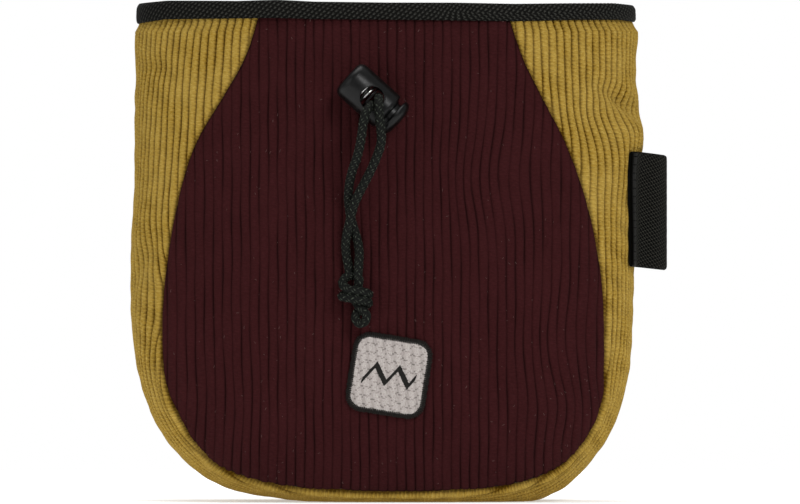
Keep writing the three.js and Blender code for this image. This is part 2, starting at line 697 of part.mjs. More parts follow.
// Body: one shell cut into front panel, back panel and gusset
const shell = bodyShell();
const reach = BAG_DEPTH * 2;
const strandRoutes = { cord_left: LEFT_STRAND, cord_right: RIGHT_STRAND };
let frontPanel = shell.intersect(prism(bellShape(0), -reach, 0));
for (const [[x, , z]] of Object.values(strandRoutes)) {
  const radius = CORD_RADIUS + CORD_CLEAR;
  const hole = new THREE.CylinderGeometry(radius, radius, reach, CORD_SIDES).translate(x, -reach / 2, z);
  frontPanel = frontPanel.subtract(toSolid(hole));
}
const backPanel = shell.intersect(prism(bellShape(0), 0, reach));
const gusset = shell.subtract(prism(bellShape(SEAM_GAP), -reach, reach));
group.add(named('front_panel', toGeometry(frontPanel), SURFACES.burgundy));
group.add(named('back_panel', toGeometry(backPanel), SURFACES.mustard));
group.add(named('gusset', toGeometry(gusset), SURFACES.mustard));

// Rim, loops and patch
group.add(named('rim_binding', rimGeometry(), SURFACES.blackTape));
group.add(named('brush_loop', brushLoopGeometry(), SURFACES.webbing));
group.add(named('belt_loop', beltLoopGeometry(), SURFACES.webbing));
group.add(named('patch', patchGeometry(), SURFACES.embroidery));

// Cord lock, lying on the front panel
const toggle = new THREE.Group();
toggle.add(named('toggle_barrel', barrelGeometry(), SURFACES.plastic));
toggle.add(named('toggle_plunger', plungerGeometry(), SURFACES.plastic));
toggle.add(named('toggle_spring', springGeometry(), SURFACES.steel));
toggle.rotation.y = TOGGLE_ANGLE;
toggle.position.set(
  TOGGLE_PLACE.x,
  frontY(TOGGLE_PLACE.x, TOGGLE_PLACE.z - BARREL_LENGTH / 2) - SEAM_GAP - BARREL_RADIUS,
  TOGGLE_PLACE.z,
);
group.add(toggle);

// Drawcord and knot
for (const [name, route] of Object.entries(strandRoutes)) {
  group.add(named(name, tube(route, CORD_RADIUS, CORD_SIDES, CORD_STEP), SURFACES.cord));
}
group.add(named('knot', knotGeometry(), SURFACES.cord));

export default group;
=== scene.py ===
# Looks of a corduroy chalk bag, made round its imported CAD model. The front faces -Y and +Z is up.
# Points and sizes are worked out in millimetres of the model's own frame, and new_piece() makes them metres.

import math

import bpy
import numpy as np
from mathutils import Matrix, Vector


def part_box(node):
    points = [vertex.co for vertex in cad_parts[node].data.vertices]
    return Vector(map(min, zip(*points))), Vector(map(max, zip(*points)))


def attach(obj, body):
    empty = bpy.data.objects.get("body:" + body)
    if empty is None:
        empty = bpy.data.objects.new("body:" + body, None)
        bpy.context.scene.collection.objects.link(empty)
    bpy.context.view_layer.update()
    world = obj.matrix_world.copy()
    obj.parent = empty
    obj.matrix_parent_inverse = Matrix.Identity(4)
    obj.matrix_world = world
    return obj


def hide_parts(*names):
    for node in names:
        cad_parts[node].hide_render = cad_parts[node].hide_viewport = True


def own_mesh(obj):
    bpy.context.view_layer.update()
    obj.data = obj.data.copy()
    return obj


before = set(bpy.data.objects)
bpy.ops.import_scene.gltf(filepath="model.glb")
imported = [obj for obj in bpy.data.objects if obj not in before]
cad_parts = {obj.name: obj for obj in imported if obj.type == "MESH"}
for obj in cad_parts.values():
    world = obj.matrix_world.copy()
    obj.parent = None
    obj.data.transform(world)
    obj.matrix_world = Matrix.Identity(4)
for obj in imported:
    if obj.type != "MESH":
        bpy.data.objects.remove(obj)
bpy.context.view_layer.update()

MM = 0.001


def table(columns, *rows):
    """Named columns, one array each, from rows of numbers."""
    return {name: np.array(values, float) for name, values in zip(columns.split(), zip(*rows))}


# The body of the bag
HALF_WIDTH = 75.0
HALF_DEPTH = 41.0
BODY_HEIGHT = 147.0
WALL = 2.2
SEAM_GAP = 0.3
SEAM_LAP = 0.1
FOLD_DEPTH = 2.6

# Sections of the body from the floor up. height is a share of BODY_HEIGHT, left and right are shares of
# HALF_WIDTH, front and back of HALF_DEPTH, and power is the section's squareness, where 2 is an ellipse.
SECTIONS = table(
    "height left right front back power",
    (0.0, 0.32, 0.55, 0.56, 0.56, 2.5),
    (0.006, 0.4, 0.607, 0.68, 0.68, 2.5),
    (0.018, 0.563, 0.663, 0.78, 0.78, 2.6),
    (0.035, 0.671, 0.719, 0.845, 0.845, 2.7),
    (0.073, 0.787, 0.795, 0.92, 0.92, 2.85),
    (0.135, 0.895, 0.883, 0.985, 0.98, 3.0),
    (0.196, 0.955, 0.931, 1.03, 1.02, 3.05),
    (0.288, 1.003, 0.967, 1.065, 1.05, 3.05),
    (0.41, 1.023, 0.979, 1.085, 1.06, 2.95),
    (0.533, 1.019, 0.987, 1.085, 1.055, 2.75),
    (0.655, 1.007, 0.997, 1.07, 1.045, 2.5),
    (0.747, 1.007, 1.015, 1.05, 1.03, 2.35),
    (0.808, 1.007, 0.999, 1.037, 1.02, 2.25),
    (0.87, 1.003, 0.987, 1.02, 1.01, 2.15),
    (0.925, 1.007, 0.993, 1.008, 1.004, 2.08),
    (0.961, 1.007, 0.999, 0.998, 0.998, 2.02),
    (0.973, 0.985, 0.973, 0.968, 0.968, 2.0),
    (1.0, 0.985, 0.973, 0.968, 0.968, 2.0),
)

# Seam between a panel and the gusset, from the mouth down, in the same shares
SEAM = table(
    "height left right",
    (0.973, 0.523, 0.491),
    (0.9, 0.571, 0.54),
    (0.827, 0.651, 0.611),
    (0.729, 0.763, 0.711),
    (0.631, 0.827, 0.783),
    (0.533, 0.867, 0.831),
    (0.435, 0.891, 0.859),
    (0.337, 0.899, 0.867),
    (0.239, 0.883, 0.875),
    (0.165, 0.819, 0.831),
    (0.116, 0.759, 0.775),
    (0.067, 0.651, 0.675),
    (0.035, 0.44, 0.5),
    (0.023, 0.16, 0.24),
)

# Creases and hollows. around is degrees from the right side, anticlockwise from above, so the front is at
# -90. height and tall are shares of BODY_HEIGHT, wide is degrees, depth is a share of FOLD_DEPTH and
# negative where the cloth stands out, and lean moves the fold up per degree going round.
FOLDS = table(
    "around height wide tall depth lean",
    (-19, 0.812, 13, 0.022, 1.25, -0.0022),
    (-17, 0.752, 15, 0.03, -0.55, 0),
    (-157, 0.885, 7, 0.018, 0.3, 0),
    (-160, 0.49, 12, 0.045, 0.5, 0.004),
    (-72, 0.655, 11, 0.11, 0.55, 0.004),
    (-28, 0.26, 12, 0.06, 0.4, 0),
)

# Where the wales swing aside. across and up are places on the cloth, wide and tall the reach of the swing,
# and shift how far it carries the wales, all in millimetres.
PANEL_FLOW = table(
    "across up wide tall shift",
    (31, 98, 13, 13, -2.4),
    (52, 50, 10, 12, -1.6),
    (50, 28, 12, 9, 1.6),
    (-48, 30, 12, 14, 0.9),
    (-12, 70, 18, 22, 0.5),
)

# The same on the gusset's two sides. side is -1 for the left, across is the way from the middle of the
# strip towards the front, and a shift towards the front is positive.
GUSSET_FLOW = table(
    "side across up wide tall shift",
    (1, 26, 115, 13, 8, 2.6),
    (1, 20, 100, 14, 10, -2.6),
    (-1, 30, 60, 15, 15, 7.0),
    (-1, 36, 128, 14, 12, -0.8),
)

# Corduroy. Each cloth's pitch, rise, flatness of its ridges and how much some grooves lose of their depth
BURGUNDY_CLOTH = (2.73, 0.65, 4.0, 0.4)
MUSTARD_CLOTH = (2.5, 0.85, 3.0, 0.2)
# Places of the mesh's columns across a wale. WALE_MIX makes each wale unlike the one beside it.
WALE_SHARES = (0.0, 0.09, 0.2, 0.35, 0.5, 0.65, 0.8, 0.91)
GROOVE_WANDER = 0.05
WALE_MIX = 12.9
ROW_STEP = 1.3
# The cloth beside a seam: how it rounds into it, how high it swells, where and how wide, and the least
# that it is taken to face the front when a distance is carried from the front view to the cloth
EDGE_ROUND = 0.6
EDGE_SWELL = 0.35
SWELL_PLACE = 3.0
SWELL_WIDTH = 2.4
LEAST_FACING = 0.4
# Seeds of the small unevenness of each piece
FRONT_SEED = 5
BACK_SEED = 11
GUSSET_SEED = 23
RIM_SEED = 31
# The lining has one column a wale and one row in so many
LINING_ROWS = 3
CORE = np.array([0.0, 0.0, 70.0])

# Camera
VIEW_WIDTH = 240.0
VIEW_CENTRE = (3.75, 74.7)
VIEW_DISTANCE = 5000.0
SENSOR = 36.0

# Drawcord
CORD_RADIUS = 1.3
CORD_SIDES = 48
CORD_STEP = 0.22
LEFT_STRAND = [
    (-4.6, -39.8, 118.4),
    (-4.6, -44.5, 118.4),
    (-4.6, -49, 118.4),
    (-4.62, -52.9, 118.4),
    (-5.15, -55.8, 117.9),
    (-6.2, -57.7, 116.3),
    (-7.0, -58.3, 113.6),
    (-7.5, -57.7, 110.3),
    (-8.1, -56.2, 106.5),
    (-9.1, -54.3, 102.6),
    (-10.4, -52, 98.8),
    (-11.3, -49.6, 94.8),
    (-11.6, -47.6, 91),
    (-11.3, -46.6, 87.6),
    (-10.7, -46.4, 84.2),
    (-9.7, -46.5, 80.8),
    (-8.8, -46.8, 77.6),
    (-8.4, -47.4, 74.6),
    (-8.5, -48.1, 71.4),
    (-8.7, -48.6, 68.6),
    (-8.8, -48.8, 66.4),
]
RIGHT_STRAND = [
    (-2.6, -39.8, 120.6),
    (-2.6, -44.5, 120.6),
    (-2.6, -49, 120.6),
    (-2.6, -52.6, 120.6),
    (-2.55, -55.4, 119.9),
    (-2.5, -57.3, 118),
    (-2.35, -58, 115.3),
    (-2.1, -57.7, 112.2),
    (-1.75, -56.9, 109.3),
    (-1.95, -55.8, 106.6),
    (-3.0, -54.6, 103.4),
    (-4.5, -53.3, 99.8),
    (-6.5, -52, 95.8),
    (-8.5, -50.9, 92),
    (-9.9, -50.1, 88.8),
    (-10.7, -49.6, 85.8),
    (-11.4, -49.1, 82.8),
    (-12.1, -48, 79.5),
    (-12.4, -46.9, 76.4),
    (-12.1, -46.5, 73.4),
    (-11.5, -46.5, 70),
    (-11, -46.5, 66.4),
]


# Shapes

def smooth_column(rows, key, at):
    """A column of a table at any height, on a smooth curve that doesn't overshoot the table's rows."""
    heights, values = rows["height"], rows[key]
    slope = np.diff(values) / np.diff(heights)
    both = slope[:-1] * slope[1:]
    total = slope[:-1] + slope[1:]
    bend = np.where(both > 0, 2 * both / np.where(both > 0, total, 1), 0)
    tangent = np.concatenate(([slope[0]], bend, [slope[-1]]))
    i = np.clip(np.searchsorted(heights, at, side="right") - 1, 0, len(heights) - 2)
    span = heights[i + 1] - heights[i]
    t = (at - heights[i]) / span
    start = (2 * t**3 - 3 * t**2 + 1) * values[i] + (t**3 - 2 * t**2 + t) * span * tangent[i]
    end = (3 * t**2 - 2 * t**3) * values[i + 1] + (t**3 - t**2) * span * tangent[i + 1]
    return start + end


def section(z):
    """The body's half widths and squareness at heights above the floor."""
    height = np.clip(z / BODY_HEIGHT, 0, 1)
    left, right, front, back, power = (
        smooth_column(SECTIONS, key, height) for key in ("left", "right", "front", "back", "power")
    )
    return left * HALF_WIDTH, right * HALF_WIDTH, front * HALF_DEPTH, back * HALF_DEPTH, power


def shares(points):
    """How far out points lie, as shares of the section that they are in, and its squareness."""
    x, y, z = np.moveaxis(points, -1, 0)
    left, right, front, back, power = section(z)
    return x / np.where(x >= 0, right, left), y / np.where(y >= 0, back, front), power


def skin_along(origins, directions):
    """Where rays from inside the body leave its skin."""
    near = np.zeros(origins.shape[:-1])
    far = near + 2 * HALF_WIDTH
    for _ in range(21):
        middle = (near + far) / 2
        points = origins + directions * middle[..., None]
        across, deep, power = shares(points)
        inside = (np.abs(across) ** power + np.abs(deep) ** power < 1) & (points[..., 2] > 0)
        near = np.where(inside, middle, near)
        far = np.where(inside, far, middle)
    return origins + directions * near[..., None]


def panel_depth(x, z, side):
    """How deep the skin lies at a place seen from the front, side -1, or from the back, side 1."""
    left, right, front, back, power = section(z)
    share = np.minimum(np.abs(x) / np.where(x >= 0, right, left), 0.999)
    return side * (back if side > 0 else front) * (1 - share**power) ** (1 / power)


def fold_depth(points):
    """How far the cloth is pushed in at points of the skin."""
    across, deep, power = shares(points)
    turned = np.arctan2(
        np.sign(deep) * np.abs(deep) ** (power / 2),
        np.sign(across) * np.abs(across) ** (power / 2),
    )
    total = np.zeros(points.shape[:-1])
    for around, height, wide, tall, depth, lean in zip(*FOLDS.values()):
        turn = (np.degrees(turned) - around + 180) % 360 - 180
        rise = points[..., 2] / BODY_HEIGHT - height - lean * turn
        total += depth * FOLD_DEPTH * np.exp(-((turn / wide) ** 2) - (rise / tall) ** 2)
    return total


def smooth_line(points, per_span):
    """A smooth line through points, with so many steps between two of them."""
    points = np.array(points, float)
    padded = np.vstack((2 * points[0] - points[1], points, 2 * points[-1] - points[-2]))
    t = (np.arange(per_span) / per_span)[:, None]
    spans = []
    for a, b, c, d in zip(padded, padded[1:], padded[2:], padded[3:]):
        spans.append(0.5 * (2 * b + (c - a) * t + (2 * a - 5 * b + 4 * c - d) * t**2
                            + (3 * b - a - 3 * c + d) * t**3))
    return np.vstack((*spans, points[-1:]))


def lengths_along(line):
    """How far along a line each of its points lies."""
    return np.concatenate(([0], np.cumsum(np.linalg.norm(np.diff(line, axis=0), axis=1))))


def unit(vectors):
    """Vectors made one long."""
    return vectors / np.linalg.norm(vectors, axis=-1, keepdims=True)


def outward(line):
    """The way out of a closed flat line at each of its points."""
    ahead = np.roll(line, -1, axis=0) - np.roll(line, 1, axis=0)
    return unit(np.stack((ahead[:, 1], -ahead[:, 0]), axis=1))


def even_line(line, step):
    """The same line with its points a step apart, or a little less."""
    length = lengths_along(line)
    places = np.linspace(0, length[-1], max(2, math.ceil(length[-1] / step) + 1))
    return np.stack([np.interp(places, length, line[:, k]) for k in range(line.shape[1])], axis=1)


def bell_line():
    """The seam seen from the front, from its upper left end round to its upper right end, past the mouth."""
    up = SEAM["height"] * BODY_HEIGHT
    left = np.stack((-SEAM["left"] * HALF_WIDTH, up), axis=1)
    right = np.stack((SEAM["right"] * HALF_WIDTH, up), axis=1)[::-1]
    line = smooth_line(np.vstack((left, right)), 6)
    above = (line[0] + 4 * (line[0] - line[1]), line[-1] + 4 * (line[-1] - line[-2]))
    return np.vstack((above[0], line, above[1]))


BELL = bell_line()


def bell_distance(x, z):
    """Distance outside the seam line seen from the front, negative inside it."""
    flat = np.stack((x.ravel(), z.ravel()), axis=1)
    nearest = np.full(len(flat), np.inf)
    signed = np.zeros(len(flat))
    for start, step in zip(BELL, np.diff(BELL, axis=0)):
        out = flat - start
        along = np.clip(out @ step / (step @ step), 0, 1)
        distance = np.linalg.norm(out - along[:, None] * step, axis=1)
        side = np.where(step[0] * out[:, 1] - step[1] * out[:, 0] > 0, -1, 1)
        closer = distance < nearest
        nearest = np.where(closer, distance, nearest)
        signed = np.where(closer, distance * side, signed)
    return signed.reshape(x.shape)


def grid_normals(points):
    """Directions out of the bag at the points of a grid."""
    normal = np.cross(np.gradient(points, axis=1), np.gradient(points, axis=0))
    normal /= np.linalg.norm(normal, axis=2, keepdims=True) + 1e-9
    outwards = np.sign((normal * (points - CORE)).sum(axis=2))
    return normal * outwards[..., None]


def flow_shift(flow, across, up):
    """How far the wales are carried aside at places on the cloth."""
    total = np.zeros(across.shape)
    for middle, height, wide, tall, shift in zip(*flow.values()):
        total += shift * np.exp(-(((across - middle) / wide) ** 2) - ((up - height) / tall) ** 2)
    return total


def hill(at, middle, width):
    """A smooth hill, 1 in its middle."""
    return np.exp(-(((at - middle) / width) ** 2))


def ripple(a, b, seed):
    """Small smooth unevenness at places a, b, from -1 to 1."""
    random = np.random.default_rng(seed)
    total = np.zeros(np.broadcast(a, b).shape)
    for _ in range(6):
        turn, phase = random.uniform(0, 2 * math.pi, 2)
        total += np.sin(a * math.cos(turn) + b * math.sin(turn) + phase)
    return total / 6


# Meshes

def grid_faces(rows, columns):
    """Quads of a grid of points, row by row."""
    i, j = np.meshgrid(np.arange(rows - 1), np.arange(columns - 1), indexing="ij")
    a = (i * columns + j).ravel()
    return np.stack([a, a + 1, a + 1 + columns, a + columns], axis=1)


def cut(values, faces, keep):
    """The part of a mesh where keep is positive, with new vertices on the line where it is zero.

    values holds a row of numbers for each vertex, and a new vertex gets a mix of the rows beside it."""
    kept = keep > 0
    whole = kept[faces].all(axis=1)
    polygons = faces[whole].tolist()
    added = []
    made = {}
    for face in faces[kept[faces].any(axis=1) & ~whole].tolist():
        polygon = []
        for a, b in zip(face, face[1:] + face[:1]):
            if kept[a]:
                polygon.append(a)
            if kept[a] != kept[b]:
                key = (min(a, b), max(a, b))
                if key not in made:
                    made[key] = len(values) + len(added)
                    added.append(values[a] + keep[a] / (keep[a] - keep[b]) * (values[b] - values[a]))
                polygon.append(made[key])
        polygons.append(polygon)
    values = np.vstack((values, *added)) if added else values
    used = sorted({index for polygon in polygons for index in polygon})
    place = dict(zip(used, range(len(used))))
    return values[used], [[place[index] for index in polygon] for polygon in polygons]


def rim_of(polygons):
    """The vertices along the open edge of a mesh, in order."""
    edges = {(a, b) for polygon in polygons for a, b in zip(polygon, polygon[1:] + polygon[:1])}
    following = {a: b for a, b in edges if (b, a) not in edges}
    start = min(following)
    loop = [start]
    while following[loop[-1]] != start:
        loop.append(following[loop[-1]])
    return loop


def travelled(flat, loop):
    """How far along a closed loop each of its vertices lies, from 0 to 1."""
    line = flat[loop + loop[:1]]
    length = np.cumsum(np.linalg.norm(np.diff(line, axis=0), axis=1))
    return np.concatenate(([0], length[:-1])) / length[-1]


def closed_shell(outer, inner, flat):
    """One solid from an outer and an inner skin, each a pair of values and polygons, with the wall between.

    flat is the slice of the values that holds a vertex's place on the flat cloth."""
    (outer_values, outer_polygons), (inner_values, inner_polygons) = outer, inner
    first = rim_of(outer_polygons)
    second = rim_of(inner_polygons)
    gap = np.linalg.norm(inner_values[second][:, flat] - outer_values[first[0]][flat], axis=1)
    turn = int(np.argmin(gap))
    second = second[turn:] + second[:turn]
    places = (travelled(outer_values[:, flat], first), travelled(inner_values[:, flat], second))
    count = len(outer_values)
    wall = []
    i = j = 0
    while i < len(first) or j < len(second):
        a, b = first[i % len(first)], count + second[j % len(second)]
        next_a = places[0][i + 1] if i + 1 < len(first) else 1
        next_b = places[1][j + 1] if j + 1 < len(second) else 1
        if j == len(second) or (i < len(first) and next_a <= next_b):
            i += 1
            wall.append([first[i % len(first)], a, b])
        else:
            j += 1
            wall.append([a, b, count + second[j % len(second)]])
    inside = [[count + index for index in reversed(polygon)] for polygon in inner_polygons]
    polygons = outer_polygons + inside + wall
    kinds = [0] * len(outer_polygons) + [1] * (len(inside) + len(wall))
    return np.vstack((outer_values, inner_values)), polygons, kinds


def pointing_out(points, polygons):
    """The polygons of a closed mesh with their faces outwards."""
    volume = 0.0
    for polygon in polygons:
        a = points[polygon[0]]
        for b, c in zip(polygon[1:], polygon[2:]):
            volume += a @ np.cross(points[b], points[c])
    return polygons if volume > 0 else [polygon[::-1] for polygon in polygons]


def placed(name, data):
    """A new object in the scene."""
    made = bpy.data.objects.new(name, data)
    bpy.context.scene.collection.objects.link(made)
    return made


def new_piece(name, points, polygons, materials, kinds=None, **attributes):
    """An object from points in millimetres, with an attribute for each array of numbers given."""
    mesh = bpy.data.meshes.new(name)
    mesh.from_pydata((np.asarray(points) * MM).tolist(), [], [list(p) for p in polygons])
    for material in materials:
        mesh.materials.append(material)
    mesh.polygons.foreach_set("use_smooth", [True] * len(mesh.polygons))
    if kinds is not None:
        mesh.polygons.foreach_set("material_index", kinds)
    for key, values in attributes.items():
        values = np.asarray(values, np.float32)
        if values.ndim == 1:
            mesh.attributes.new(key, "FLOAT", "POINT").data.foreach_set("value", values)
        else:
            padded = np.zeros((len(values), 3), np.float32)
            padded[:, :values.shape[1]] = values
            mesh.attributes.new(key, "FLOAT_VECTOR", "POINT").data.foreach_set("vector", padded.ravel())
    mesh.update()
    return placed(name, mesh)


def tube_frames(line):
    """Two directions across a line at each of its points, turning as little as they can."""
    tangent = unit(np.gradient(line, axis=0))
    side = np.cross(tangent[0], (0.0, 0.0, 1.0))
    if np.linalg.norm(side) < 0.1:
        side = np.cross(tangent[0], (0.0, 1.0, 0.0))
    sides = []
    for direction in tangent:
        side = side - (side @ direction) * direction
        side = side / np.linalg.norm(side)
        sides.append(side)
    sides = np.array(sides)
    return sides, np.cross(tangent, sides)


def capped_rings(count, around):
    """Faces of rings of points, one after another, closed by the two end points that follow the rings."""
    polygons = []
    for i in range(count - 1):
        for j in range(around):
            k = (j + 1) % around
            polygons.append([i * around + j, i * around + k, (i + 1) * around + k, (i + 1) * around + j])
    last = (count - 1) * around
    for j in range(around):
        k = (j + 1) % around
        polygons.append([count * around, k, j])
        polygons.append([count * around + 1, last + j, last + k])
    return polygons


def tube(line, radius, around, relief=None):
    """A closed tube along a line. relief gives how far its skin stands out at an angle and a length."""
    first, second = tube_frames(line)
    length = lengths_along(line)
    angle = np.linspace(0, 2 * math.pi, around, endpoint=False)
    angles, lengths = np.meshgrid(angle, length)
    rise = relief(angles, lengths) if relief else 0
    reach = (radius + rise) * np.ones(angles.shape)
    points = (line[:, None] + reach[..., None] * (np.cos(angles)[..., None] * first[:, None]
                                                  + np.sin(angles)[..., None] * second[:, None]))
    points = np.vstack((points.reshape(-1, 3), line[:1], line[-1:]))
    weave = np.stack((angles.ravel() * radius, lengths.ravel()), axis=1)
    weave = np.vstack((weave, [(0, 0), (0, length[-1])]))
    return points, capped_rings(len(line), around), weave


# Material parts

def node(tree, kind, inputs=None, **settings):
    """A new node of a tree, with its settings and its inputs, each a value or another node's output."""
    made = tree.nodes.new(kind)
    for key, value in settings.items():
        setattr(made, key, value)
    for key, value in (inputs or {}).items():
        if isinstance(value, bpy.types.NodeSocket):
            tree.links.new(value, made.inputs[key])
        else:
            made.inputs[key].default_value = value
    return made


def maths(tree, operation, *values):
    """The result of a sum on values or other nodes' outputs."""
    return node(tree, "ShaderNodeMath", dict(enumerate(values)), operation=operation).outputs[0]


def mixed(tree, factor, first, second):
    """A colour between two colours."""
    made = node(tree, "ShaderNodeMix", {0: factor, 6: first, 7: second}, data_type="RGBA")
    return made.outputs[2]


def spread(tree, value, low, high, to_low=0.0, to_high=1.0):
    """A value carried from one range to another, and held there."""
    return node(tree, "ShaderNodeMapRange", {0: value, 1: low, 2: high, 3: to_low, 4: to_high}).outputs[0]


def colour(red, green, blue):
    """A surface's colour from its 8-bit display numbers."""
    def linear(value):
        value = value / 255
        return value / 12.92 if value <= 0.04045 else ((value + 0.055) / 1.055) ** 2.4
    return (linear(red), linear(green), linear(blue), 1.0)


def noise(tree, vector, scale, detail, roughness):
    """Cloudy unevenness, from 0 to 1."""
    inputs = {"Vector": vector, "Scale": scale, "Detail": detail, "Roughness": roughness}
    return node(tree, "ShaderNodeTexNoise", inputs).outputs[0]


def scaled(tree, vector, *factors):
    """A place with each of its three numbers multiplied."""
    made = node(tree, "ShaderNodeVectorMath", {0: vector, 1: factors}, operation="MULTIPLY")
    return made.outputs[0]


def new_group(name, inputs, outputs):
    """A shader group with named float or vector inputs and outputs, and its two end nodes."""
    group = bpy.data.node_groups.new(name, "ShaderNodeTree")
    for key, kind in inputs.items():
        group.interface.new_socket(key, in_out="INPUT", socket_type=kind)
    for key, kind in outputs.items():
        group.interface.new_socket(key, in_out="OUTPUT", socket_type=kind)
    return group, group.nodes.new("NodeGroupInput"), group.nodes.new("NodeGroupOutput")


VECTOR = "NodeSocketVector"
FLOAT = "NodeSocketFloat"

# Woven tape: how much its ribs and floats wander, and how far each rib's floats are set on from the last's
RIB_WANDER = 0.35
FLOAT_WANDER = 0.3
FLOAT_STAGGER = 0.37
RIM_TWILL = 1.15
WEB_TWILL = 0.85

# Rows of pile across a wale: from row to row, how much they slant, and how unlike the next wale's they lie
TICK_PITCH = 1.2
TICK_SLANT = 0.5
TICK_STAGGER = 4.0
TICK_WANDER = 14.0


def pile_group():
    """Brushed cotton pile: tufts across the wales, loose fibres and broad patches of wear."""
    group, start, end = new_group(
        "cotton_pile",
        {"Place": VECTOR, "Tuft Size": FLOAT},
        {"Tufts": FLOAT, "Patches": FLOAT, "Height": FLOAT},
    )
    place = start.outputs["Place"]
    tufts = noise(group, scaled(group, place, 0.7, 2.0, 1.0), start.outputs["Tuft Size"], 4.0, 0.7)
    fibres = noise(group, scaled(group, place, 6.0, 2.5, 1.0), start.outputs["Tuft Size"], 2.0, 0.6)
    patches = noise(group, place, 0.07, 3.0, 0.6)
    height = maths(group, "ADD", maths(group, "MULTIPLY", tufts, 0.7), maths(group, "MULTIPLY", fibres, 0.3))
    for key, value in (("Tufts", tufts), ("Patches", patches), ("Height", height)):
        group.links.new(value, end.inputs[key])
    return group


def wave(tree, value, pitch):
    """A smooth wave of a length, from 0 to 1, with so many millimetres from crest to crest."""
    turn = maths(tree, "MULTIPLY", maths(tree, "DIVIDE", value, pitch), 2 * math.pi)
    return maths(tree, "MULTIPLY_ADD", maths(tree, "SINE", turn), 0.5, 0.5)


def twill_group():
    """Woven tape whose Place holds the way across its ribs and the way along them.

    Ribs are 1 on a rib and 0 between two, Floats are the yarn's short floats on a rib, and Lint is dust."""
    group, start, end = new_group(
        "twill_tape",
        {"Place": VECTOR, "Pitch": FLOAT, "Float Length": FLOAT},
        {"Ribs": FLOAT, "Floats": FLOAT, "Lint": FLOAT},
    )
    place = start.outputs["Place"]
    flat = node(group, "ShaderNodeSeparateXYZ", {0: place}).outputs
    pitch = start.outputs["Pitch"]
    rough = noise(group, place, 2.2, 3.0, 0.7)
    ribs = wave(group, maths(group, "MULTIPLY_ADD", rough, RIB_WANDER, flat[0]), pitch)
    rib_number = maths(group, "FLOOR", maths(group, "DIVIDE", flat[0], pitch))
    staggered = maths(group, "ADD", flat[1], maths(group, "MULTIPLY", rib_number, FLOAT_STAGGER))
    length = maths(group, "MULTIPLY_ADD", rough, FLOAT_WANDER, staggered)
    floats = wave(group, length, start.outputs["Float Length"])
    lint = noise(group, scaled(group, place, 1.0, 0.4, 1.0), 1.3, 4.0, 0.75)
    for key, value in (("Ribs", ribs), ("Floats", floats), ("Lint", lint)):
        group.links.new(value, end.inputs[key])
    return group


def use_group(tree, group, inputs):
    """A shader group placed in a material, with its inputs set."""
    return node(tree, "ShaderNodeGroup", inputs, node_tree=group).outputs


def new_material(name):
    """A material with its Principled shader, and the tree that they are in."""
    material = bpy.data.materials.new(name)
    material.use_nodes = True
    return material, material.node_tree, material.node_tree.nodes["Principled BSDF"]


def attribute(tree, name):
    """What a mesh's own numbers say at each place."""
    return node(tree, "ShaderNodeAttribute", None, attribute_name=name).outputs


def bumped(tree, shader, height, strength, distance):
    """Fine relief on a surface, its distance in millimetres."""
    bump = node(tree, "ShaderNodeBump", {"Height": height, "Strength": strength, "Distance": distance * MM})
    tree.links.new(bump.outputs[0], shader.inputs["Normal"])


PILE = pile_group()
TWILL = twill_group()


def corduroy(name, ridge, groove, wear_and_highlight, pitch, sheen, tick):
    """Ribbed cotton pile, with painted shade darkening the grooves and a painted highlight on tufts of the
    ridge tops.

    tick is how much the rows of pile across a wale show."""
    material, tree, shader = new_material(name)
    wale = attribute(tree, "wale")["Fac"]
    place = attribute(tree, "weave")["Vector"]
    pile = use_group(tree, PILE, {"Place": place, "Tuft Size": 1.1})
    flat = node(tree, "ShaderNodeSeparateXYZ", {0: place}).outputs
    wale_number = maths(tree, "FLOOR", maths(tree, "DIVIDE", flat[0], pitch))
    lean = maths(tree, "MULTIPLY_ADD", flat[0], TICK_SLANT, flat[1])
    stagger = maths(tree, "SINE", maths(tree, "MULTIPLY", wale_number, WALE_MIX))
    slant = maths(tree, "MULTIPLY_ADD", stagger, TICK_STAGGER, lean)
    wander = maths(tree, "MULTIPLY", pile["Tufts"], TICK_WANDER)
    turn = maths(tree, "MULTIPLY_ADD", slant, 2 * math.pi / TICK_PITCH, wander)
    ticks = maths(tree, "MULTIPLY_ADD", maths(tree, "SINE", turn), 0.5, 0.5)
    narrowed = maths(tree, "SUBTRACT", wale, maths(tree, "MULTIPLY", ticks, tick))
    # Painted shade: the colour runs from the groove colour up to the ridge colour as the wale rises, so the
    # grooves are painted darker.
    depth = spread(tree, narrowed, 0.0, 0.7)
    base = mixed(tree, depth, colour(*groove), colour(*ridge))
    # Painted highlight: the paler colour is laid on tufts of the ridge tops, where light catches them.
    highlight_tufts = spread(tree, pile["Tufts"], 0.42, 0.72)
    light = maths(tree, "MULTIPLY", highlight_tufts, spread(tree, wale, 0.3, 1.0))
    highlighted = mixed(tree, maths(tree, "MULTIPLY", light, 0.8), base, colour(*wear_and_highlight))
    patchy = maths(tree, "MULTIPLY", spread(tree, pile["Patches"], 0.4, 0.7), 0.25)
    tree.links.new(mixed(tree, patchy, highlighted, colour(*wear_and_highlight)), shader.inputs["Base Color"])
    tree.links.new(spread(tree, pile["Tufts"], 0.3, 0.7, 0.98, 0.86), shader.inputs["Roughness"])
    shader.inputs["Sheen Weight"].default_value = sheen
    shader.inputs["Sheen Roughness"].default_value = 0.45
    shader.inputs["Sheen Tint"].default_value = colour(*wear_and_highlight)
    shader.inputs["Specular IOR Level"].default_value = 0.05
    rough = maths(tree, "MULTIPLY_ADD", ticks, -tick, pile["Height"])
    bumped(tree, shader, rough, 0.8, 0.5)
    return material


DUST = (58, 56, 51)


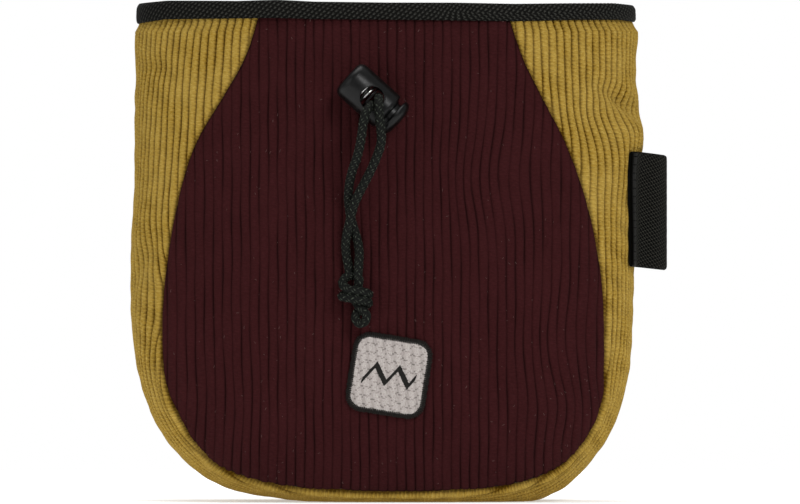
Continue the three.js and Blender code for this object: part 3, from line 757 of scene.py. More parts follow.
def tape(name, rib, between, pitch, float_length):
    """Woven tape with slanted ribs, with painted shade between them, and a little dusty."""
    material, tree, shader = new_material(name)
    place = attribute(tree, "weave")["Vector"]
    weave = use_group(tree, TWILL, {"Place": place, "Pitch": pitch, "Float Length": float_length})
    shown = attribute(tree, "wale")["Fac"]
    ribs = spread(tree, weave["Ribs"], 0.3, 0.95)
    crest = maths(tree, "MULTIPLY", ribs, spread(tree, weave["Floats"], 0.1, 0.75))
    raised = maths(tree, "MULTIPLY", crest, shown)
    # Painted shade: where the ribs and floats are low, the tape takes the much darker colour between them.
    base = mixed(tree, raised, colour(*between), colour(*rib))
    dusty = maths(tree, "MULTIPLY", spread(tree, weave["Lint"], 0.62, 0.8), 0.3)
    tree.links.new(mixed(tree, dusty, base, colour(*DUST)), shader.inputs["Base Color"])
    tree.links.new(spread(tree, weave["Lint"], 0.3, 0.7, 0.9, 0.7), shader.inputs["Roughness"])
    shader.inputs["Specular IOR Level"].default_value = 0.06
    bumped(tree, shader, raised, 0.7, 0.15)
    return material


def own_place(tree):
    """Places in the piece's own frame, in metres."""
    return node(tree, "ShaderNodeTexCoord").outputs["Object"]


def plain_cloth(name, base, paler):
    """Plain woven cloth, a little cloudy."""
    material, tree, shader = new_material(name)
    place = own_place(tree)
    grain = noise(tree, place, 1600.0, 4.0, 0.7)
    cloud = noise(tree, place, 30.0, 3.0, 0.6)
    mix = maths(tree, "MULTIPLY", spread(tree, cloud, 0.35, 0.7), 0.6)
    tree.links.new(mixed(tree, mix, colour(*base), colour(*paler)), shader.inputs["Base Color"])
    tree.links.new(spread(tree, grain, 0.3, 0.7, 0.97, 0.85), shader.inputs["Roughness"])
    bumped(tree, shader, grain, 0.5, 0.3)
    return material


def stitching(name, base, paler):
    """Twisted sewing thread, or a single fibre of lint."""
    material, tree, shader = new_material(name)
    place = own_place(tree)
    twist = noise(tree, place, 2600.0, 3.0, 0.7)
    tree.links.new(mixed(tree, twist, colour(*base), colour(*paler)), shader.inputs["Base Color"])
    tree.links.new(spread(tree, twist, 0.3, 0.7, 0.75, 0.5), shader.inputs["Roughness"])
    shader.inputs["Specular IOR Level"].default_value = 0.12
    bumped(tree, shader, twist, 0.5, 0.08)
    return material


def thread(name, base, paler, fleck):
    """Braided or embroidered yarn, painted darker in its hollows and paler on its crowns as painted shade and
    highlight, with pale flecks on the crowns. The flecks are partly the yarn's own and partly painted
    highlight.
    """
    material, tree, shader = new_material(name)
    place = attribute(tree, "weave")["Vector"]
    crown = attribute(tree, "wale")["Fac"]
    fuzz = noise(tree, scaled(tree, place, 1.0, 0.5, 1.0), 4.0, 3.0, 0.7)
    # Painted shade and highlight: the colour follows the yarn's height, dark in the hollows and pale on the
    # crowns.
    shade = mixed(tree, spread(tree, crown, 0.2, 0.8), colour(*base), colour(*paler))
    flecks = maths(tree, "MULTIPLY", spread(tree, fuzz, 0.42, 0.62), spread(tree, crown, 0.6, 0.95))
    tree.links.new(mixed(tree, flecks, shade, colour(*fleck)), shader.inputs["Base Color"])
    tree.links.new(spread(tree, fuzz, 0.3, 0.7, 0.85, 0.65), shader.inputs["Roughness"])
    shader.inputs["Specular IOR Level"].default_value = 0.12
    bumped(tree, shader, fuzz, 0.5, 0.1)
    return material


def moulded(name, base, scuffed):
    """Black moulded plastic, half glossy and faintly scuffed."""
    material, tree, shader = new_material(name)
    place = own_place(tree)
    grain = noise(tree, place, 2500.0, 2.0, 0.5)
    scuff = noise(tree, place, 350.0, 5.0, 0.7)
    mask = maths(tree, "MULTIPLY", spread(tree, scuff, 0.6, 0.75), 0.5)
    tree.links.new(mixed(tree, mask, colour(*base), colour(*scuffed)), shader.inputs["Base Color"])
    tree.links.new(spread(tree, scuff, 0.3, 0.75, 0.24, 0.46), shader.inputs["Roughness"])
    shader.inputs["Specular IOR Level"].default_value = 0.22
    bumped(tree, shader, grain, 0.15, 0.05)
    return material


def wire(name, base, brighter):
    """Bright drawn wire."""
    material, tree, shader = new_material(name)
    place = own_place(tree)
    drawn = noise(tree, place, 3000.0, 3.0, 0.6)
    tree.links.new(mixed(tree, drawn, colour(*base), colour(*brighter)), shader.inputs["Base Color"])
    tree.links.new(spread(tree, drawn, 0.3, 0.7, 0.22, 0.38), shader.inputs["Roughness"])
    shader.inputs["Metallic"].default_value = 1.0
    return material


# Each corduroy's colours: the ridges', the grooves' (darker, as painted shade), and a paler one. The paler
# one serves as a painted highlight on the ridge tops, for broad patches of wear and as the sheen's tint.
BURGUNDY = corduroy(
    "burgundy_corduroy", (47, 17, 18), (26, 8, 8), (60, 25, 27), BURGUNDY_CLOTH[0], sheen=0.01, tick=0.1,
)
MUSTARD = corduroy(
    "mustard_corduroy", (156, 124, 45), (82, 55, 3), (200, 171, 92), MUSTARD_CLOTH[0], sheen=0.03, tick=0.36,
)
LINING = plain_cloth("lining_cloth", (38, 36, 33), (62, 59, 54))
# Each tape's colours: its ribs', and a much darker one between them as painted shade.
TAPE = tape("binding_tape", (53, 53, 49), (11, 11, 9), RIM_TWILL, 0.9)
WEBBING = tape("webbing", (50, 49, 44), (2, 2, 1), WEB_TWILL, 1.1)
# Each thread's colours: its hollows' (painted shade), its crowns' (painted highlight), and the pale flecks on
# the crowns.
BRAID = thread("cord_braid", (4, 5, 4), (22, 24, 20), (112, 120, 104))
SATIN = thread("patch_thread", (96, 90, 86), (160, 152, 148), (190, 183, 178))
BLACK_THREAD = stitching("black_thread", (17, 17, 15), (34, 33, 30))
PLASTIC = moulded("lock_plastic", (5, 5, 5), (20, 20, 18))
STEEL = wire("spring_steel", (214, 214, 210), (240, 240, 238))
FLUFF = stitching("lint", (84, 56, 56), (128, 102, 98))


# Camera

def make_camera():
    """A camera level with the bag and far off, so that it sees the bag as flat as the photo does."""
    data = bpy.data.cameras.new("camera")
    data.sensor_width = SENSOR
    data.lens = SENSOR * VIEW_DISTANCE / VIEW_WIDTH
    data.clip_end = 100.0
    camera = placed("camera", data)
    camera.location = Vector((VIEW_CENTRE[0], -VIEW_DISTANCE, VIEW_CENTRE[1])) * MM
    camera.rotation_euler = (math.pi / 2, 0.0, 0.0)
    bpy.context.scene.camera = camera


make_camera()


# Drawcord

BRAID_CARRIERS = 8
BRAID_PITCH = 8.4
BRAID_RISE = 0.17


def braid_relief(angle, length):
    """Two sets of yarns that cross over and under each other round a cord."""
    turn = BRAID_CARRIERS * angle
    travel = 2 * math.pi * BRAID_CARRIERS * length / BRAID_PITCH
    one = np.abs(np.sin((turn + travel) / 2))
    other = np.abs(np.sin((turn - travel) / 2))
    over = 0.5 + 0.5 * np.sin((turn + travel) / 4 + 1) * np.sin((turn - travel) / 4)
    return BRAID_RISE * (np.maximum(one * over, other * (1 - over)) * 1.6 - 0.7)


def braided(name, line):
    """A length of braided cord along a line."""
    points, polygons, weave = tube(line, CORD_RADIUS, CORD_SIDES, braid_relief)
    count = len(weave) - 2
    rise = braid_relief(weave[:count, 0] / CORD_RADIUS, weave[:count, 1])
    wale = np.concatenate((rise / BRAID_RISE * 0.6 + 0.4, (0.5, 0.5)))
    return new_piece(name, points, pointing_out(points, polygons), [BRAID], wale=wale, weave=weave)


def strand(name, route, node_name):
    """One strand of the drawcord, from the panel through the cord lock down to the knot."""
    line = even_line(smooth_line(route, 8), CORD_STEP)
    piece = braided(name, line)
    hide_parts(node_name)
    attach(piece, "bag")


# Routes of the cord inside the knot, measured from its middle: across, towards the back and up
KNOT_PLACE = np.array((-9.4, -48.5, 62.0))
KNOT_TILT = 0.34
KNOT_WRAP = [
    (-1.2, 1.2, 5.6),
    (-3.0, 0.6, 4.0),
    (-3.9, -0.6, 2.0),
    (-2.4, -2.0, 0.9),
    (0.2, -2.5, 1.2),
    (2.6, -1.8, 1.6),
    (3.9, 0.1, 1.4),
    (2.2, 1.9, 0.8),
    (-0.6, 2.2, -0.2),
    (-3.0, 1.3, -1.2),
    (-4.1, -0.4, -1.9),
    (-2.4, -2.0, -1.7),
    (0.4, -2.5, -1.2),
    (2.8, -1.7, -0.9),
    (3.8, 0.3, -1.2),
    (2.4, 1.4, -2.2),
    (0.4, 0.9, -3.0),
]
KNOT_BIGHT = [
    (0.2, 0.6, -2.4),
    (1.2, -0.6, -3.8),
    (2.7, -0.9, -5.2),
    (3.2, -0.8, -6.7),
    (2.5, -0.6, -8.1),
    (1.2, -0.4, -8.5),
    (0.1, -0.3, -7.5),
    (0.1, 0.0, -6.0),
    (0.9, 0.9, -4.6),
    (1.7, 1.1, -3.2),
]
KNOT_NECK = [
    (1.0, -0.2, 5.4),
    (0.8, -0.4, 3.0),
    (0.2, 0.2, 0.5),
    (-0.2, 0.4, -1.5),
]


def make_knot():
    """The knot: a cord wound round twice, a bight below it and the neck that goes into it."""
    parts = []
    for route, tilt in ((KNOT_WRAP, KNOT_TILT), (KNOT_BIGHT, 0.0), (KNOT_NECK, 0.0)):
        places = np.array(route)
        places[:, 2] -= tilt * places[:, 0]
        line = even_line(smooth_line(places + KNOT_PLACE, 10), CORD_STEP)
        parts.append(braided("knot_part", line))
    knot = joined("knot_cord", parts)
    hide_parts("knot")
    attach(knot, "bag")
    return knot


def joined(name, parts):
    """Several meshes in one object. Their attributes and materials are alike."""
    points, polygons, kinds = [], [], []
    attributes = {}
    materials = list(parts[0].data.materials)
    count = 0
    for part in parts:
        mesh = part.data
        co = np.zeros(len(mesh.vertices) * 3)
        mesh.vertices.foreach_get("co", co)
        points.append(co.reshape(-1, 3) / MM)
        polygons += [[count + index for index in polygon.vertices] for polygon in mesh.polygons]
        kinds += [polygon.material_index for polygon in mesh.polygons]
        for key in ("wale", "weave"):
            source = mesh.attributes.get(key)
            if source:
                width = 1 if source.data_type == "FLOAT" else 3
                values = np.zeros(len(mesh.vertices) * width, np.float32)
                source.data.foreach_get("value" if width == 1 else "vector", values)
                shaped = values if width == 1 else values.reshape(-1, 3)
                attributes.setdefault(key, []).append(shaped)
        count += len(mesh.vertices)
        bpy.data.objects.remove(part)
    merged = {key: np.concatenate(values) for key, values in attributes.items()}
    return new_piece(name, np.vstack(points), polygons, materials, kinds, **merged)


knot = make_knot()
strand("strand_left", LEFT_STRAND, "cord_left")
strand("strand_right", RIGHT_STRAND, "cord_right")


# Panels

PANEL_REACH = 70.0


def wale_columns(reach, pitch):
    """Places across the cloth from one edge to the other, in wales, close together beside the grooves."""
    count = math.ceil(reach / pitch)
    whole = np.arange(-count, count)
    return (whole[:, None] + np.array(WALE_SHARES)).ravel()


def wandered(wales, up):
    """Places in wales with each groove wandering a little along its length."""
    def wander(groove):
        return GROOVE_WANDER * np.sin(groove * WALE_MIX + up * (0.22 + 0.06 * np.sin(groove * 7.7)))
    groove = np.floor(wales)
    share = wales - groove
    return wales + wander(groove) * (1 - share) + wander(groove + 1) * share


def wale_height(wales, up, square, shallow):
    """Height across a wale at places in wales, from 0 in a deep groove to 1 on a ridge.

    square is how flat the ridges are, and shallow how much of a groove's depth may be missing."""
    groove = np.round(wales)
    missing = 0.5 + 0.5 * np.sin(groove * 5.3 + up * (0.13 + 0.07 * np.sin(groove * 3.1)))
    return 1 - np.abs(2 * (wales % 1) - 1) ** square * (1 - shallow * missing)


def edge_shape(distance):
    """How the cloth lies near a seam: it rounds down into the seam and swells a little beside it."""
    near = np.clip(1 - distance / EDGE_ROUND, 0, 1)
    tuck = EDGE_ROUND * (1 - np.sqrt(np.clip(1 - near**2, 0, 1)))
    return EDGE_SWELL * hill(distance, SWELL_PLACE, SWELL_WIDTH) - tuck


def along_cloth(distance, normals):
    """Distances seen from the front, measured along the cloth instead."""
    return distance / np.maximum(np.abs(normals[..., 1]), LEAST_FACING)


def panel_heights():
    """Heights of the rows of a panel, a step apart along the curve of its lower edge too."""
    z = np.linspace(1.5, BODY_HEIGHT, 600)
    line = np.stack((section(z)[2], z), axis=1)
    return even_line(line, ROW_STEP)[:, 1]


def cloth_values(points, normals, wales, cloth, up, distance, seed):
    """The outer skin of a piece of corduroy: place, place on the flat cloth, and height of the wale."""
    pitch, rise, square, shallow = cloth
    height = wale_height(wales, up, square, shallow) * (1 + 0.3 * ripple(wales * 2.1, up * 0.8, seed))
    fade = np.clip(distance / 0.8, 0.3, 1)
    rise = (rise * (height * fade - 0.65) + edge_shape(distance) - fold_depth(points)
            + 0.3 * ripple(wales * 0.35, up * 0.09, seed + 1))
    skin = points + normals * rise[..., None]
    skin[..., 2] = np.maximum(skin[..., 2], 0.02)
    flat = (wales * pitch, up * np.ones(wales.shape))
    # This height also sets the cloth's colour: the grooves, and the faded wales beside a seam, get painted
    # shade.
    return np.concatenate((skin, np.stack((*flat, height * fade), axis=-1)), axis=-1)


def lining_values(points, normals, inset, across, up):
    """The inner skin of a wall: place, place on the flat cloth, and no wales."""
    skin = points - normals * (inset + fold_depth(points))[..., None]
    return np.concatenate((skin, np.stack((across, up, np.zeros(up.shape)), axis=-1)), axis=-1)


def panel_skin(side, wales, cloth, heights, inset):
    """The skin of a panel inside its seam, on the outside of the wall or so far inside it."""
    wale, up = np.meshgrid(wales, heights)
    x = wandered(wale, up) * cloth[0]
    if side < 0:
        x = x + flow_shift(PANEL_FLOW, x, up)
    points = np.stack((x, panel_depth(x, up, side), up), axis=-1)
    normals = grid_normals(points)
    inside = -bell_distance(x, up)
    if inset:
        values = lining_values(points, normals, inset, x, up)
    else:
        seed = FRONT_SEED if side < 0 else BACK_SEED
        values = cloth_values(points, normals, wale, cloth, up, along_cloth(inside, normals), seed)
    return cut(values.reshape(-1, 6), grid_faces(*x.shape), inside.ravel())


def finished_cloth(name, outer, inner, material, node_name):
    """A wall of the bag, corduroy outside and lining inside."""
    values, polygons, kinds = closed_shell(outer, inner, slice(3, 5))
    polygons = pointing_out(values[:, :3], polygons)
    piece = new_piece(name, values[:, :3], polygons, [material, LINING], kinds,
                      weave=values[:, 3:5], wale=values[:, 5])
    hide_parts(node_name)
    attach(piece, "bag")
    return piece


def make_panel(name, side, cloth, material, node_name):
    """The front panel, side -1, or the back one, side 1."""
    heights = panel_heights()
    wales = wale_columns(PANEL_REACH, cloth[0])
    outer = panel_skin(side, wales, cloth, heights, 0)
    inner = panel_skin(side, wales[::len(WALE_SHARES)], cloth, heights[::LINING_ROWS], WALL)
    return finished_cloth(name, outer, inner, material, node_name)


front_cloth = make_panel("front_cloth", -1, BURGUNDY_CLOTH, BURGUNDY, "front_panel")
make_panel("back_cloth", 1, MUSTARD_CLOTH, MUSTARD, "back_panel")


# Gusset

TURN_PLACE = (30.0, 30.0)
TURN_RADIUS = 42.0
STRIP_REACH = 66.0
STRIP_STEP = 1.6
# The thick rolled edge beside the seam, up to a height, and the crease that sets it off
ROLL_HEIGHT = 42.0
ROLL_FADE = 7.0
ROLL_RISE = 1.0
ROLL_PLACE = 1.4
ROLL_WIDTH = 1.0
CREASE_PLACE = 2.9
CREASE_WIDTH = 0.5
CREASE_DEPTH = 1.2
CREASE_SHADE = 0.95
SHADE_WIDTH = 0.55
# How far round the gusset reaches from the middle of its strip, and in how many places it is measured
HALF_TURN = math.radians(88)
TURN_COUNT = 241


def strip_rows():
    """Inner origins and outward directions of the gusset's rows, down the left side and up the right."""
    across, up = TURN_PLACE
    levels = np.arange(BODY_HEIGHT, up, -STRIP_STEP)
    turns = np.arange(0, math.pi / 2, STRIP_STEP / TURN_RADIUS)
    floor = np.arange(-across, across, STRIP_STEP)
    rows = [(-across, z, -1, 0) for z in levels]
    rows += [(-across, up, -math.cos(turn), -math.sin(turn)) for turn in turns]
    rows += [(x, up, 0, -1) for x in floor]
    rows += [(across, up, math.sin(turn), -math.cos(turn)) for turn in turns]
    rows += [(across, z, 1, 0) for z in levels[::-1]]
    return np.array(rows, float)


def gusset_skin(wales, every, inset):
    """The skin of the gusset outside its seams, on the outside of the wall or so far inside it."""
    rows = strip_rows()
    turns = np.linspace(-HALF_TURN, HALF_TURN, TURN_COUNT)
    outwards = np.stack((rows[:, 2], np.zeros(len(rows)), rows[:, 3]), axis=1)[:, None]
    sideways = np.sin(turns)[None, :, None] * np.array((0, 1.0, 0))
    directions = np.cos(turns)[None, :, None] * outwards + sideways
    starts = np.stack((rows[:, 0], np.zeros(len(rows)), rows[:, 1]), axis=1)[:, None]
    origins = starts * np.ones((1, len(turns), 1))
    fine = skin_along(origins, directions)
    steps = np.linalg.norm(np.diff(fine, axis=1), axis=2)
    reach = np.concatenate((np.zeros((len(rows), 1)), np.cumsum(steps, axis=1)), axis=1)
    reach -= reach[:, len(turns) // 2][:, None]
    girth = reach[:, -1] - reach[:, 0]
    level = rows[:, 3] == 0
    spacing = np.where(level, girth, girth[np.argmin(level) - 1]) / girth[0]
    middle = fine[:, len(turns) // 2]
    along = lengths_along(middle)
    wale, up = np.meshgrid(wales, along)
    across = wandered(wale, up) * MUSTARD_CLOTH[0] * spacing[:, None]
    across = across - gusset_shift(-across, rows)
    points = np.stack([
        np.stack([np.interp(across[i], reach[i], fine[i, :, k]) for i in range(len(rows))])
        for k in range(3)
    ], axis=-1)
    normals = grid_normals(points)
    outside = bell_distance(points[..., 0], points[..., 2]) + SEAM_LAP
    if inset:
        values = lining_values(points, normals, inset, across, up)
        values, outside = values[::every], outside[::every]
    else:
        distance = along_cloth(outside, normals)
        values = cloth_values(points, normals, wale, MUSTARD_CLOTH, up, distance, GUSSET_SEED)
        roll = 1 / (1 + np.exp((points[..., 2] - ROLL_HEIGHT) / ROLL_FADE))
        crease = CREASE_DEPTH * hill(distance, CREASE_PLACE, CREASE_WIDTH)
        edge = hill(distance, ROLL_PLACE, ROLL_WIDTH) - crease
        values[..., :3] += normals * (ROLL_RISE * roll * edge)[..., None]
        # Painted shade: the crease's wale value is lowered so that it is coloured like a groove.
        values[..., 5] *= 1 - CREASE_SHADE * roll * hill(distance, CREASE_PLACE, SHADE_WIDTH)
    return cut(values.reshape(-1, 6), grid_faces(*values.shape[:2]), outside.ravel())


def gusset_shift(across, rows):
    """How far the wales are carried towards the front at places across each row of the gusset."""
    total = np.zeros(across.shape)
    up = rows[:, 1][:, None]
    for side, middle, height, wide, tall, shift in zip(*GUSSET_FLOW.values()):
        on_side = (rows[:, 2] == side)[:, None]
        total += on_side * shift * np.exp(-(((across - middle) / wide) ** 2) - ((up - height) / tall) ** 2)
    return total


def make_gusset():
    """The strip that makes both sides and the bottom."""
    wales = wale_columns(STRIP_REACH, MUSTARD_CLOTH[0])
    outer = gusset_skin(wales, 1, 0)
    inner = gusset_skin(wales[::len(WALE_SHARES)], LINING_ROWS, WALL)
    return finished_cloth("gusset_cloth", outer, inner, MUSTARD, "gusset")


make_gusset()


# Threads and lint

def new_tree(name, inputs):
    """A Geometry Nodes tree with named inputs besides its geometry, and its two end nodes."""
    tree = bpy.data.node_groups.new(name, "GeometryNodeTree")
    tree.interface.new_socket("Geometry", in_out="INPUT", socket_type="NodeSocketGeometry")
    for key, (kind, value) in inputs.items():
        socket = tree.interface.new_socket(key, in_out="INPUT", socket_type=kind)
        if value is not None:
            socket.default_value = value
    tree.interface.new_socket("Geometry", in_out="OUTPUT", socket_type="NodeSocketGeometry")
    return tree, tree.nodes.new("NodeGroupInput"), tree.nodes.new("NodeGroupOutput")


def vector_of(tree, x=0.0, y=0.0, z=0.0):
    """Three numbers or outputs as one vector."""
    return node(tree, "ShaderNodeCombineXYZ", {0: x, 1: y, 2: z}).outputs[0]


def arched_thread(tree, start, bow):
    """A round thread along X that arches up, bow times as high in the middle of its handle as its rise."""
    length, rise, thickness = (start.outputs[key] for key in ("Length", "Rise", "Thickness"))
    half = maths(tree, "MULTIPLY", length, 0.5)
    path = node(tree, "GeometryNodeCurveQuadraticBezier", {
        "Resolution": 6,
        "Start": vector_of(tree, maths(tree, "MULTIPLY", half, -1.0)),
        "Middle": vector_of(tree, 0.0, 0.0, maths(tree, "MULTIPLY", rise, bow)),
        "End": vector_of(tree, half),
    }).outputs[0]
    ring = node(tree, "GeometryNodeCurvePrimitiveCircle", {
        "Resolution": 6,
        "Radius": maths(tree, "MULTIPLY", thickness, 0.5),
    }).outputs[0]
    return node(tree, "GeometryNodeCurveToMesh", {
        "Curve": path,
        "Profile Curve": ring,
        "Fill Caps": True,
    }).outputs[0]


def finish_tree(tree, start, end, instances):
    """Realizes the instances, smooths them and gives them the tree's material."""
    real = node(tree, "GeometryNodeRealizeInstances", {0: instances}).outputs[0]
    smooth = node(tree, "GeometryNodeSetShadeSmooth", {0: real}).outputs[0]
    set_material = node(tree, "GeometryNodeSetMaterial", {0: smooth, "Material": start.outputs["Material"]})
    tree.links.new(set_material.outputs[0], end.inputs[0])


def random_value(tree, low, high, seed):
    """A number between two others, another one for each thread."""
    inputs = {2: low, 3: high, "Seed": seed}
    return node(tree, "FunctionNodeRandomValue", inputs, data_type="FLOAT").outputs[1]


THREAD_INPUTS = {
    "Length": (FLOAT, 1.5 * MM),
    "Rise": (FLOAT, 0.4 * MM),
    "Thickness": (FLOAT, 0.3 * MM),
    "Material": ("NodeSocketMaterial", None),
}


def stitch_tree():
    """A thread over each point, along the point's "along" and arched towards its "out"."""
    tree, start, end = new_tree("stitches", THREAD_INPUTS)
    thread_mesh = arched_thread(tree, start, 2.0)
    directions = [
        node(tree, "GeometryNodeInputNamedAttribute", {"Name": key}, data_type="FLOAT_VECTOR").outputs[0]
        for key in ("out", "along")
    ]
    upright = node(tree, "FunctionNodeAlignRotationToVector", {"Vector": directions[0]}, axis="Z")
    turned = node(
        tree, "FunctionNodeAlignRotationToVector",
        {"Rotation": upright.outputs[0], "Vector": directions[1]}, axis="X", pivot_axis="Z",
    )
    uneven = random_value(tree, 0.86, 1.12, 4)
    instances = node(tree, "GeometryNodeInstanceOnPoints", {
        "Points": start.outputs["Geometry"],
        "Instance": thread_mesh,
        "Rotation": turned.outputs[0],
        "Scale": vector_of(tree, uneven, 1.0, 1.0),
    }).outputs[0]
    finish_tree(tree, start, end, instances)
    return tree


def lint_tree():
    """Short bent fibres strewn over the outer faces of a cloth."""
    inputs = {"Density": (FLOAT, 20000.0), **THREAD_INPUTS}
    tree, start, end = new_tree("lint", inputs)
    fibre = arched_thread(tree, start, 2.0)
    index = node(tree, "GeometryNodeInputMaterialIndex").outputs[0]
    outer = node(tree, "FunctionNodeCompare", {2: index, 3: 0}, data_type="INT", operation="EQUAL").outputs[0]
    strewn = node(tree, "GeometryNodeDistributePointsOnFaces", {
        "Mesh": start.outputs["Geometry"],
        "Selection": outer,
        "Density": start.outputs["Density"],
        "Seed": 7,
    })
    spin = random_value(tree, 0.0, 2 * math.pi, 11)
    spun = node(tree, "FunctionNodeRotateRotation", {
        0: strewn.outputs["Rotation"],
        1: vector_of(tree, 0.0, 0.0, spin),
    }, rotation_space="LOCAL")
    size = random_value(tree, 0.35, 1.4, 12)
    instances = node(tree, "GeometryNodeInstanceOnPoints", {
        "Points": strewn.outputs[0],
        "Instance": fibre,
        "Rotation": spun.outputs[0],
        "Scale": vector_of(tree, size, 1.0, 1.0),
    }).outputs[0]
    finish_tree(tree, start, end, instances)
    return tree


def grown(name, carrier, tree, inputs):
    """The plain mesh that a tree makes on a carrier object."""
    modifier = carrier.modifiers.new(name, "NODES")
    modifier.node_group = tree
    sockets = {item.name: item.identifier for item in tree.interface.items_tree if item.in_out == "INPUT"}
    for key, value in inputs.items():
        modifier[sockets[key]] = value
    evaluated = carrier.evaluated_get(bpy.context.evaluated_depsgraph_get())
    mesh = bpy.data.meshes.new_from_object(evaluated)
    mesh.name = name
    carrier.modifiers.remove(modifier)
    piece = placed(name, mesh)
    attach(piece, "bag")
    return piece


STITCHES = stitch_tree()
LINT = lint_tree()


def stitched(name, places, along, out, length, rise, thickness, material, slot):
    """Threads over places in millimetres, each with the way that it runs and the way off the cloth."""
    carrier = new_piece(name + "_points", places, [], [], along=along, out=out)
    inputs = {"Length": length * MM, "Rise": rise * MM, "Thickness": thickness * MM, "Material": material}
    piece = grown(name, carrier, STITCHES, inputs)
    bpy.data.objects.remove(carrier)
    return piece


grown("front_lint", front_cloth, LINT, {
    "Density": 13000.0, "Length": 0.55 * MM, "Rise": 0.14 * MM, "Thickness": 0.09 * MM, "Material": FLUFF,
})


# Rim binding

RIM_LINES = table(
    "across top bottom",
    (-74, 149.2, 143.1),
    (-66, 149.8, 144.2),
    (-45, 149.5, 144.3),
    (-33, 149.8, 144.4),
    (-22, 149.2, 144.0),
    (0, 148.9, 143.8),
    (20, 148.9, 143.6),
    (38, 148.6, 143.4),
    (55, 148.9, 143.9),
    (68, 149.1, 144.1),
    (73, 148.7, 143.7),
)
# The tape's section. out is measured from the body's edge and height is a share of the tape's height.
RIM_SECTION = [
    (0.95, 0.0),
    (1.25, 0.06),
    (1.45, 0.2),
    (1.45, 0.5),
    (1.3, 0.78),
    (0.85, 0.93),
    (0.2, 1.0),
    (-2.4, 1.0),
    (-3.05, 0.94),
    (-3.5, 0.8),
    (-3.6, 0.5),
    (-3.6, 0.2),
    (-3.5, 0.06),
    (-3.2, 0.0),
]
RIM_HIDDEN = [(-2.6, 0.02), (-2.5, 0.85), (0.3, 0.85), (0.4, 0.02)]
RIM_TALL = 5.0
RIM_STATIONS = 1250
RIM_STEP = 0.36
RIM_SLANT = 1.1
RIM_RELIEF = 0.16
RIB_MEAN = 0.6
OVERLAP = (-39.8, -28.7)
OVERLAP_RISE = 0.45
OVERLAP_FADE = 1.2
CHEVRON_FROM = 14.0
CHEVRON_FADE = 12.0
# Where the tape's outer face ends in its section, and where its top begins
RIM_MIDDLE = -1.2
RIM_TOP = 0.97


def mouth_line():
    """The edge of the mouth, from the right side round by the back, in even steps."""
    left, right, front, back, power = section(np.array(BODY_HEIGHT))
    turn = np.linspace(0, 2 * math.pi, 4001)
    across = np.cos(turn) * np.where(np.cos(turn) >= 0, right, left)
    deep = np.sin(turn) * np.where(np.sin(turn) >= 0, back, front)
    step = np.hypot(across, deep).mean() * 2 * math.pi / RIM_STATIONS
    return even_line(np.stack((across, deep), axis=1), step)[:-1]


def ring_faces(rows, columns):
    """Quads of a grid that is closed both ways."""
    i, j = np.meshgrid(np.arange(rows), np.arange(columns), indexing="ij")
    next_i, next_j = (i + 1) % rows, (j + 1) % columns
    corners = (i * columns + j, i * columns + next_j, next_i * columns + next_j, next_i * columns + j)
    return np.stack([corner.ravel() for corner in corners], axis=1)


def rim_lean(travel, girth, chevron):
    """The way across the tape's ribs, which are slanted, and chevrons where chevron is 1."""
    fold = (1 - chevron) * girth + chevron * np.abs(girth - RIM_TALL * 0.5)
    return (travel - RIM_SLANT * fold) / math.hypot(1, RIM_SLANT)


def make_rim():
    """The tape folded over the edge of the mouth, with the step where its ends overlap on the front."""
    line = mouth_line()
    out = outward(line)
    travel = np.arange(len(line)) * np.linalg.norm(line[1] - line[0])
    profile = smooth_line(np.array(RIM_SECTION) * (1, RIM_TALL), 6)
    profile = even_line(profile, RIM_STEP) / (1, RIM_TALL)
    girth = np.arange(len(profile)) * RIM_STEP
    face_count = len(profile)
    profile = np.vstack((profile, RIM_HIDDEN))
    girth = np.concatenate((girth, np.zeros(len(RIM_HIDDEN))))
    top = np.interp(line[:, 0], RIM_LINES["across"], RIM_LINES["top"])
    bottom = np.interp(line[:, 0], RIM_LINES["across"], RIM_LINES["bottom"])
    start = np.clip((line[:, 0] - OVERLAP[0]) / OVERLAP_FADE, 0, 1)
    end = np.clip((OVERLAP[1] - line[:, 0]) / OVERLAP_FADE, 0, 1)
    overlap = np.where(line[:, 1] < 0, OVERLAP_RISE * start * end, 0)
    visible = (np.arange(len(profile)) < face_count).astype(float)
    travels, girths = np.meshgrid(travel, girth, indexing="ij")
    chevron = np.clip((line[:, 0] - CHEVRON_FROM) / CHEVRON_FADE, 0, 1)[:, None]
    lean = rim_lean(travels, girths, chevron)
    ribs = (0.5 + 0.5 * np.sin(2 * math.pi * lean / RIM_TWILL)) * visible
    uneven = 0.12 * ripple(travels * 0.21, girths * 0.3, RIM_SEED) * visible
    sign = np.where(profile[:, 0] > RIM_MIDDLE, 1.0, -1.0)
    rise = overlap[:, None] * visible + uneven + RIM_RELIEF * (ribs - RIB_MEAN)
    offset = profile[:, 0] + sign * rise
    crown = 0.1 * (ribs - RIB_MEAN) * (profile[:, 1] > RIM_TOP)
    height = bottom[:, None] + profile[:, 1] * (top - bottom)[:, None] + crown
    ground = line[:, None] + out[:, None] * offset[..., None]
    points = np.concatenate((ground, height[..., None]), axis=2).reshape(-1, 3)
    polygons = pointing_out(points, ring_faces(len(line), len(profile)).tolist())
    weave = np.stack((lean.ravel(), girths.ravel()), axis=1)
    shown = (visible * np.ones(lean.shape)).ravel()
    rim = new_piece("rim_tape", points, polygons, [TAPE], wale=shown, weave=weave)
    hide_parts("rim_binding")
    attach(rim, "bag")


make_rim()


# Webbing loops

WEB_THICK = 1.5
WEB_STEP = 0.36
WEB_RELIEF = 0.16
SELVEDGE = 1.3
EDGE_THIN = 0.35
TACK_INSET = 1.5
TACK_MARGIN = 0.6
TACK_SINK = 0.1
TACK_LENGTH = 2.2
TACK_STEP = 0.42
# Half the step over which a way along the cloth is measured
PROBE = 0.1
